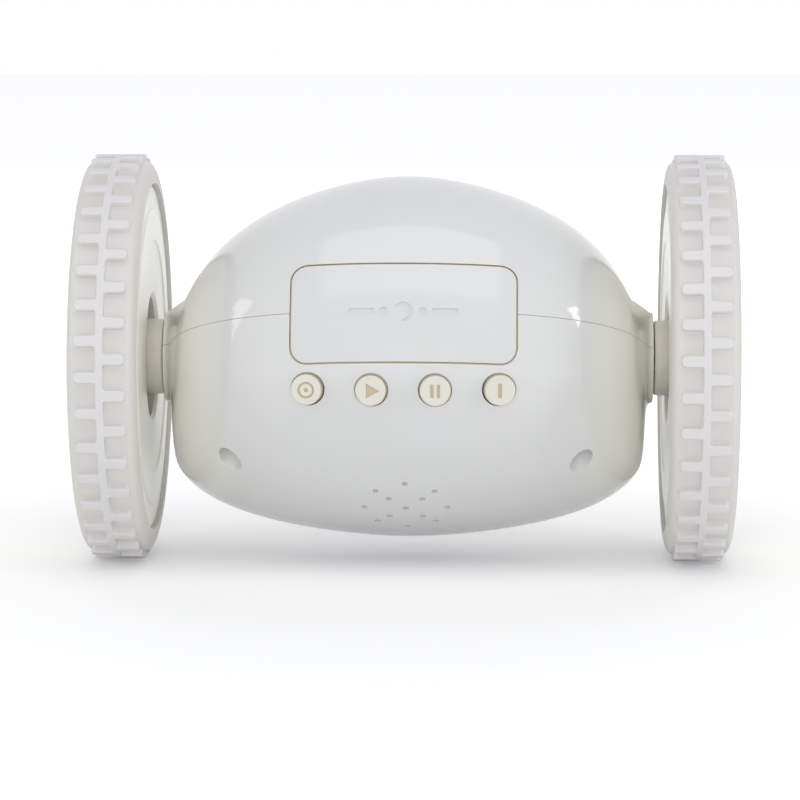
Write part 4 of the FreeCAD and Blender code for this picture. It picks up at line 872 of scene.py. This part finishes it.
combined(skirt, "DIFFERENCE", body_form("skirt_foot", SNOOZE_THICKNESS - 0.3 * MM, PLAIN_END))
combined(snooze_bar, "UNION", skirt)
skin_shaded(snooze_bar, skin)
standing_for(snooze_bar, "snooze_button", "snooze_bar",
             plastic("snooze_white", (0.725, 0.728, 0.748), 0.12, coat=0.2))
# Painted shade: the bar's faces deeper than 0.45 mm below its top take the darker tan of the gaps.
shade_painted_in_gaps(snooze_bar, skin, 0.45 * MM, painted_gap_shade)
plunger_grey = plastic("plunger_grey", (0.12, 0.12, 0.125), 0.5)
switch_black = plastic("switch_black", (0.025, 0.025, 0.027), 0.5, grain=0.01)
dressed("snooze_board", board_green)
dressed("snooze_switches", switch_black)
dressed("snooze_plungers", plunger_grey)

# Set buttons: four ivory caps in a row stand proud of the shell, each over a switch. Each face
# has a plain sunk mark: a dial, a triangle, two bars and one bar. Painted shade: the mark's floor
# and walls are a darker tan, and the caps' sides down in the holes take the gap shade.
BUTTONS = ("time", "alarm", "minute", "hour")
MARK_DEPTH, MARK_REACH = 0.18 * MM, 2.2 * MM
CAP_SIDE, SKIRT_REACH = 1.9 * MM, 4.2 * MM
button_ivory = plastic("button_ivory", (0.76, 0.74, 0.68), 0.26, tint=0.02, coat=0.1)
painted_mark_shade = plastic("painted_mark_shade", (0.62, 0.53, 0.41), 0.45, tint=0.08)
for number, name in enumerate(BUTTONS):
    middle = (1.5 - number) * BUTTON_PITCH
    face_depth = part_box(name + "_button")[1].y
    place = facing(0) @ Matrix.Translation((middle, BUTTON_DROP, 0))
    top = face_depth + MM
    foot = face_depth - MARK_DEPTH
    if name == "time":
        ring = pin("ring", 1.65 * MM, foot, top, place)
        combined(ring, "DIFFERENCE", pin("ring_hole", 1.2 * MM, foot - MM, top + MM, place))
        mark = merged("mark", ring, pin("centre", 0.45 * MM, foot, top, place, 0, 0, 24))
    elif name == "alarm":
        mark = pin("mark", 1.75 * MM, foot, top, place @ Matrix.Rotation(math.pi / 2, 4, "Z"),
                   0, 0, 3)
    elif name == "minute":
        mark = merged("mark", *[
            plate("bar", 0.7 * MM, 2.7 * MM, 0.3 * MM, foot, top,
                  place @ Matrix.Translation((x * MM, 0, 0))) for x in (-0.65, 0.65)])
    else:
        mark = plate("mark", 0.8 * MM, 2.9 * MM, 0.35 * MM, foot, top, place)
    cap = rounded_copy(name + "_button", 0.1 * MM)
    combined(cap, "DIFFERENCE", mark)
    skirt = pin("skirt", BUTTON_HOLE - SKIRT_GAP, face_depth - SKIRT_REACH, face_depth, place)
    combined(skirt, "INTERSECT", body_form("skirt_top", SKIRT_DROP, PLAIN_END))
    combined(cap, "UNION", skirt)
    evenly_shaded(cap)
    standing_for(cap, name + "_button", name + "_key", button_ivory)
    cap.data.materials.append(painted_mark_shade)
    cap.data.materials.append(painted_gap_shade)
    # Painted shade: faces sunk into the mark take the darker tan, and faces more than CAP_SIDE
    # below the face take the gap shade.
    for face in cap.data.polygons:
        spot = face.center
        sunk = face_depth - spot.y
        aside = math.hypot(spot.x - middle, spot.z - AXLE_HEIGHT + BUTTON_DROP)
        if 0.05 * MARK_DEPTH < sunk < 1.3 * MARK_DEPTH and aside < MARK_REACH:
            face.material_index = 1
        elif sunk > CAP_SIDE:
            face.material_index = 2
    dressed(name + "_plunger", plunger_grey)
dressed("button_board", board_green)
dressed("button_switches", switch_black)

# Speaker: a pressed steel basket with a black paper cone and a capped magnet, on a ring behind
# the holes of the rear shell.
speaker_paper = plastic("speaker_paper", (0.025, 0.025, 0.027), 0.8, tint=0.3, grain=0.05)
standing_for(rounded_copy("speaker_frame"), "speaker_frame", "housing",
             metal("speaker_steel", (0.3, 0.3, 0.31), 0.4))
standing_for(rounded_copy("speaker_cone"), "speaker_cone", "housing",
             speaker_paper)
standing_for(rounded_copy("speaker_magnet", 0.3 * MM), "speaker_magnet", "housing",
             metal("magnet", (0.22, 0.22, 0.23), 0.35))

# Battery bay: a cream tray holds four small cells in two layers between nickel-plated contacts
# and cone springs. The door is a flush cap of the shell with a plug inside and grip grooves.
tray_cream = plastic("tray_cream", (0.58, 0.54, 0.45), 0.4)
contact_nickel = metal("contact_nickel", (0.66, 0.64, 0.58), 0.22)
dressed("battery_tray", tray_cream)
dressed("battery_contacts", contact_nickel)

cell_sleeve = metal("cell_sleeve", (0.5, 0.5, 0.5), 0.32)
tree = cell_sleeve.node_tree
shader = tree.nodes["Principled BSDF"]
place = tree.nodes.new("ShaderNodeTexCoord")
split = tree.nodes.new("ShaderNodeSeparateXYZ")
far_out = tree.nodes.new("ShaderNodeMath")
far_out.operation = "ABSOLUTE"
sleeve_bands = tree.nodes.new("ShaderNodeValToRGB")
sleeve_bands.color_ramp.interpolation = "CONSTANT"
sleeve_bands.color_ramp.elements[0].color = (0.03, 0.07, 0.14, 1)
sleeve_bands.color_ramp.elements[1].position = 0.62
sleeve_bands.color_ramp.elements[1].color = (0.45, 0.3, 0.14, 1)
bare = sleeve_bands.color_ramp.elements.new(0.86)
bare.color = (0.6, 0.6, 0.6, 1)
spread = tree.nodes.new("ShaderNodeMapRange")
spread.inputs["From Max"].default_value = 24 * MM
tree.links.new(place.outputs["Object"], split.inputs[0])
tree.links.new(split.outputs["X"], far_out.inputs[0])
tree.links.new(far_out.outputs[0], spread.inputs["Value"])
tree.links.new(spread.outputs["Result"], sleeve_bands.inputs["Fac"])
tree.links.new(sleeve_bands.outputs["Color"], shader.inputs["Base Color"])
standing_for(rounded_copy("battery_cells", 0.35 * MM), "battery_cells", "housing",
             cell_sleeve)

SPRING_WIRE, SPRING_RADIUS, SPRING_LENGTH = 0.28 * MM, 3.2 * MM, 1.33 * MM
SPRING_TURNS, STEPS_PER_TURN = 3.25, 24
spring_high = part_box("battery_springs")[1]
CELL_PITCH = 11.0 * MM
CELL_DEPTHS = (24.4 * MM, 13.6 * MM)
spring_shape = bmesh.new()
for number, (column, depth) in enumerate(((-1, 0), (1, 0), (-1, 1), (1, 1))):
    outward = 1 if number in (1, 2) else -1
    ring = bmesh.ops.create_circle(spring_shape, segments=8, radius=SPRING_WIRE)["verts"]
    bmesh.ops.rotate(spring_shape, verts=ring, cent=(0, 0, 0),
                     matrix=Matrix.Rotation(math.pi / 2, 3, "X"))
    bmesh.ops.translate(spring_shape, verts=ring, vec=(SPRING_RADIUS, 0, 0))
    edges = list({edge for vert in ring for edge in vert.link_edges})
    before = set(spring_shape.verts) - set(ring)
    bmesh.ops.spin(spring_shape, geom=ring + edges, cent=(0, 0, 0), axis=(0, 0, 1),
                   dvec=(0, 0, 0.017 * MM), angle=2 * math.pi * SPRING_TURNS,
                   steps=round(SPRING_TURNS * STEPS_PER_TURN))
    coil = [vert for vert in spring_shape.verts if vert not in before]
    for vert in coil:
        narrow = 1 - 0.38 * min(1.0, max(0.0, vert.co.z / SPRING_LENGTH))
        vert.co.x *= narrow
        vert.co.y *= narrow
    seat = spring_high.x - SPRING_WIRE if outward > 0 else -spring_high.x + SPRING_WIRE
    turn = Matrix.Rotation(-outward * math.pi / 2, 4, "Y")
    home = facing(DOOR_ANGLE) @ Matrix.Translation(
        (seat, column * CELL_PITCH / 2, CELL_DEPTHS[depth]))
    bmesh.ops.transform(spring_shape, verts=coil, matrix=home @ turn)
bmesh.ops.holes_fill(spring_shape, edges=[edge for edge in spring_shape.edges if edge.is_boundary],
                     sides=0)
bmesh.ops.recalc_face_normals(spring_shape, faces=spring_shape.faces)
standing_for(evenly_shaded(held("battery_springs_coiled", spring_shape), 60), "battery_springs",
             "housing", contact_nickel)

door_place = facing(DOOR_ANGLE)
door = copied(body_skin, "battery_door_moulded")
combined(door, "INTERSECT", plate("door_outline", DOOR_LENGTH, DOOR_WIDTH, DOOR_CORNER, 20 * MM,
                                  BEYOND, door_place))
combined(door, "DIFFERENCE", copied(half_wall_body, "door_under"))
rim_rounded(door, skin, 0.2 * MM)
plug = plate("door_plug", DOOR_LENGTH - 2 * DOOR_LEDGE - 2 * DOOR_GAP,
             DOOR_WIDTH - 2 * DOOR_LEDGE - 2 * DOOR_GAP, DOOR_CORNER - DOOR_LEDGE, 20 * MM, BEYOND,
             door_place)
combined(plug, "INTERSECT", body_form("plug_top", 0.6 * SHELL_WALL / 2, PLAIN_END))
combined(plug, "DIFFERENCE", body_form("plug_under", SHELL_WALL + 0.3 * MM, PLAIN_END))
combined(door, "UNION", plug)
grooves = merged("grooves", *[
    plate("groove", 0.9 * MM, 11 * MM, 0.4 * MM, 20 * MM, BEYOND,
          door_place @ Matrix.Translation((x * MM, 0, 0))) for x in (14.6, 16.4, 18.2, 20.0)])
combined(grooves, "DIFFERENCE", body_form("groove_floor", 0.4 * MM, PLAIN_END))
combined(door, "DIFFERENCE", grooves)
skin_shaded(door, skin)
standing_for(door, "battery_door", "door", shell_white)

# Housing screws: four zinc-plated screws go up the wells of the rear shell into the columns of
# the front shell.
housing_screw_shape = bmesh.new()
for x in (WELL_X, -WELL_X):
    for y in WELL_ROWS:
        cross_screw(housing_screw_shape, facing(PARTING_NORMAL), x, y, WELL_FLOOR, 1.6 * MM,
                    2.1 * MM, 1.25 * MM, 7 * MM)
standing_for(evenly_shaded(held("housing_screws_turned", housing_screw_shape)), "housing_screws",
             "housing", screw_steel)

# Tyres: soft matte white rubber, moulded in one piece with a rib all round the middle and short
# ribs with rounded ends on each side of it, in two staggered rows. Each is pulled over its rim.
TREAD_RADIUS = 40.5 * MM
RIB_RISE, RIB_HALF, CENTRE_HALF, RIB_REACH = 1.5 * MM, 1.15 * MM, 0.8 * MM, 5.1 * MM
RIBS_PER_ROW = 36
FLAT_RADIUS = 41.25 * MM
STEP = 2 * math.pi * FLAT_RADIUS / RIBS_PER_ROW
SHOULDER = ((5.72, -0.16), (6.12, -0.55), (6.45, -1.15), (6.7, -1.95), (6.84, -2.8), (6.9, -3.6),
            (6.9, -4.5))
ACROSS = (-5.3 * MM, -RIB_REACH, -CENTRE_HALF, CENTRE_HALF, RIB_REACH, 5.3 * MM)
ALONG = (-0.25 * STEP, -RIB_HALF, RIB_HALF, STEP / 2 - RIB_HALF, STEP / 2 + RIB_HALF, 0.75 * STEP)


def is_steep(edge):
    return edge.is_manifold and edge.calc_face_angle(0) > math.radians(50)


def is_upright(edge):
    low, high = sorted((vert.co.z for vert in edge.verts))
    return high - low > 0.9 * RIB_RISE


def bevelled(shape, edges, width, steps):
    bmesh.ops.bevel(shape, geom=edges, offset=width, segments=steps, profile=0.5, affect="EDGES",
                    material=-1, clamp_overlap=True, loop_slide=True)


def tyre_shape():
    """One step of the tread, laid flat, shaped, rolled up and repeated all round."""
    shape = bmesh.new()
    bmesh.ops.create_grid(shape, x_segments=5, y_segments=5, size=0.5)
    for vert in shape.verts:
        vert.co = (ACROSS[round((vert.co.x + 0.5) * 5)], ALONG[round((vert.co.y + 0.5) * 5)], 0)

    def is_raised(face):
        spot = face.calc_center_median()
        outer = CENTRE_HALF < spot.x < RIB_REACH and abs(spot.y) < RIB_HALF
        inner = -RIB_REACH < spot.x < -CENTRE_HALF and abs(spot.y - STEP / 2) < RIB_HALF
        return abs(spot.x) < CENTRE_HALF or outer or inner

    raised = [face for face in shape.faces if is_raised(face)]
    made = bmesh.ops.extrude_face_region(shape, geom=raised)["geom"]
    bmesh.ops.translate(shape, vec=(0, 0, RIB_RISE),
                        verts=[part for part in made if isinstance(part, bmesh.types.BMVert)])
    sunk = [face for face in shape.faces
            if is_raised(face) and max(vert.co.z for vert in face.verts) < 0.1 * RIB_RISE]
    bmesh.ops.delete(shape, geom=sunk, context="FACES")
    ends = [face for face in shape.faces
            if abs(face.normal.y) > 0.9
            and abs(face.calc_center_median().y - STEP / 4) > 0.49 * STEP]
    bmesh.ops.delete(shape, geom=ends, context="FACES")
    bmesh.ops.recalc_face_normals(shape, faces=shape.faces)
    bmesh.ops.dissolve_limit(shape, angle_limit=math.radians(1), verts=shape.verts,
                             edges=shape.edges)
    tips = [edge for edge in shape.edges
            if is_steep(edge) and is_upright(edge) and abs(edge.verts[0].co.x) > 0.9 * RIB_REACH]
    bevelled(shape, tips, 0.95 * MM, 4)
    nooks = [edge for edge in shape.edges
             if is_steep(edge) and is_upright(edge) and abs(edge.verts[0].co.x) < 2 * CENTRE_HALF]
    bevelled(shape, nooks, 0.3 * MM, 2)
    crest = [edge for edge in shape.edges
             if is_steep(edge) and min(vert.co.z for vert in edge.verts) > 0.9 * RIB_RISE]
    bevelled(shape, crest, 0.4 * MM, 3)
    root = [edge for edge in shape.edges
            if is_steep(edge) and max(vert.co.z for vert in edge.verts) < 0.1 * RIB_RISE]
    bevelled(shape, root, 0.2 * MM, 2)
    slices = 8
    for number in range(1, slices):
        level = ALONG[0] + STEP * number / slices
        bmesh.ops.bisect_plane(shape, geom=shape.verts[:] + shape.edges[:] + shape.faces[:],
                               dist=0.001 * MM, plane_co=(0, level, 0), plane_no=(0, 1, 0))
    for side in (1, -1):
        rim = [edge for edge in shape.edges if edge.is_boundary
               and all(side * vert.co.x > 5.2 * MM for vert in edge.verts)]
        for along, fall in SHOULDER:
            made = bmesh.ops.extrude_edge_only(shape, edges=rim)["geom"]
            for part in made:
                if isinstance(part, bmesh.types.BMVert):
                    part.co.x, part.co.z = side * along * MM, fall * MM
            rim = [part for part in made if isinstance(part, bmesh.types.BMEdge)]
    for vert in shape.verts:
        angle = vert.co.y / FLAT_RADIUS
        radius = TREAD_RADIUS + vert.co.z
        vert.co = (vert.co.x, -radius * math.sin(angle), radius * math.cos(angle))
    step_angle = 2 * math.pi / RIBS_PER_ROW
    bmesh.ops.spin(shape, geom=shape.verts[:] + shape.edges[:] + shape.faces[:], cent=(0, 0, 0),
                   axis=(1, 0, 0), angle=step_angle * (RIBS_PER_ROW - 1), steps=RIBS_PER_ROW - 1,
                   use_duplicate=True)
    bmesh.ops.remove_doubles(shape, verts=shape.verts, dist=0.02 * MM)
    bmesh.ops.bridge_loops(shape, edges=[edge for edge in shape.edges if edge.is_boundary])
    bmesh.ops.recalc_face_normals(shape, faces=shape.faces)
    return shape


tyre_rubber = plastic("tyre_rubber", (0.75, 0.735, 0.76), 0.5, tint=0.02, grain=0.02)
tree = tyre_rubber.node_tree
shader = tree.nodes["Principled BSDF"]
rib_tone = shader.inputs["Base Color"].links[0].from_socket
place = tree.nodes.new("ShaderNodeTexCoord")
from_axle = tree.nodes.new("ShaderNodeVectorMath")
from_axle.operation = "MULTIPLY_ADD"
from_axle.inputs[1].default_value = (0, 1, 1)
from_axle.inputs[2].default_value = (0, 0, -AXLE_HEIGHT)
height = tree.nodes.new("ShaderNodeVectorMath")
height.operation = "LENGTH"
share = tree.nodes.new("ShaderNodeMapRange")
share.inputs["From Min"].default_value = TREAD_RADIUS + 0.1 * MM
share.inputs["From Max"].default_value = TREAD_RADIUS + 1.0 * MM
# Painted shade: the tread face between the ribs is painted a darker warm grey, which fades into
# the plain rubber over the lowest millimetre of the ribs, for the shade at their roots.
painted_light_mix = tree.nodes.new("ShaderNodeMixRGB")
painted_light_mix.inputs["Color1"].default_value = (0.715, 0.7, 0.675, 1)
tree.links.new(place.outputs["Object"], from_axle.inputs[0])
tree.links.new(from_axle.outputs["Vector"], height.inputs[0])
tree.links.new(height.outputs["Value"], share.inputs["Value"])
tree.links.new(share.outputs["Result"], painted_light_mix.inputs["Fac"])
tree.links.new(rib_tone, painted_light_mix.inputs["Color2"])
tree.links.new(painted_light_mix.outputs["Color"], shader.inputs["Base Color"])
for side, sign in (("right", 1), ("left", -1)):
    low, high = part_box(side + "_tyre")
    shape = tyre_shape()
    bmesh.ops.scale(shape, verts=shape.verts, vec=(sign, 1, 1))
    bmesh.ops.translate(shape, verts=shape.verts, vec=((low.x + high.x) / 2, 0, AXLE_HEIGHT))
    bmesh.ops.recalc_face_normals(shape, faces=shape.faces)
    standing_for(evenly_shaded(held(side + "_tyre_moulded", shape), 60), side + "_tyre",
                 side + "_wheel", tyre_rubber)

# Rims, covers and hub caps: satin warm white ABS. The rim's collar runs to the hub of the body,
# the ring cover closes the wheel towards the body, and a glossy cap hides the axle's end.
rim_white = plastic("rim_white", (0.87, 0.84, 0.75), 0.3, tint=0.03)
cover_white = plastic("cover_white", (0.86, 0.85, 0.81), 0.3, tint=0.03)
cap_white = plastic("cap_white", (0.76, 0.76, 0.765), 0.12, coat=0.2)
axle_steel = metal("axle_steel", (0.6, 0.6, 0.6), 0.25, streak=0.4)
bush_bronze = metal("bush_bronze", (0.5, 0.33, 0.16), 0.4, grain=0.01)
for side in ("right", "left"):
    body = side + "_wheel"
    standing_for(rounded_copy(side + "_wheel_rim", 0.2 * MM), side + "_wheel_rim", body,
                 rim_white)
    standing_for(rounded_copy(side + "_wheel_cover", 0.12 * MM, sharp=12.0),
                 side + "_wheel_cover", body, cover_white)
    standing_for(rounded_copy(side + "_hub_cap", 0.25 * MM), side + "_hub_cap", body,
                 cap_white)
    standing_for(rounded_copy(side + "_axle", 0.2 * MM), side + "_axle", body,
                 axle_steel)
    standing_for(rounded_copy(side + "_axle_bush", 0.15 * MM), side + "_axle_bush", "housing",
                 bush_bronze)

# Gear trains: on each side a small steel motor drives two steps of nylon gears in a dark acetal
# case. The last gear is pressed on the wheel's axle.
gear_nylon = plastic("gear_nylon", (0.66, 0.63, 0.55), 0.35, subsurface=0.1)
motor_steel = metal("motor_steel", (0.55, 0.55, 0.56), 0.3, streak=0.3)
gearbox_plastic = plastic("gearbox_plastic", (0.035, 0.035, 0.04), 0.45, tint=0.1)
for side in ("right", "left"):
    dressed(side + "_output_gear", gear_nylon)
    dressed(side + "_idler_gear", gear_nylon)
    dressed(side + "_gear_pin", axle_steel)
    dressed(side + "_motor_rotor", axle_steel)
    dressed(side + "_motor_can", motor_steel)
    dressed(side + "_gearbox_case", gearbox_plastic)
    dressed(side + "_gearbox_cover", gearbox_plastic)

for item in (body_skin, inner_body, half_wall_body):
    bpy.data.objects.remove(item)
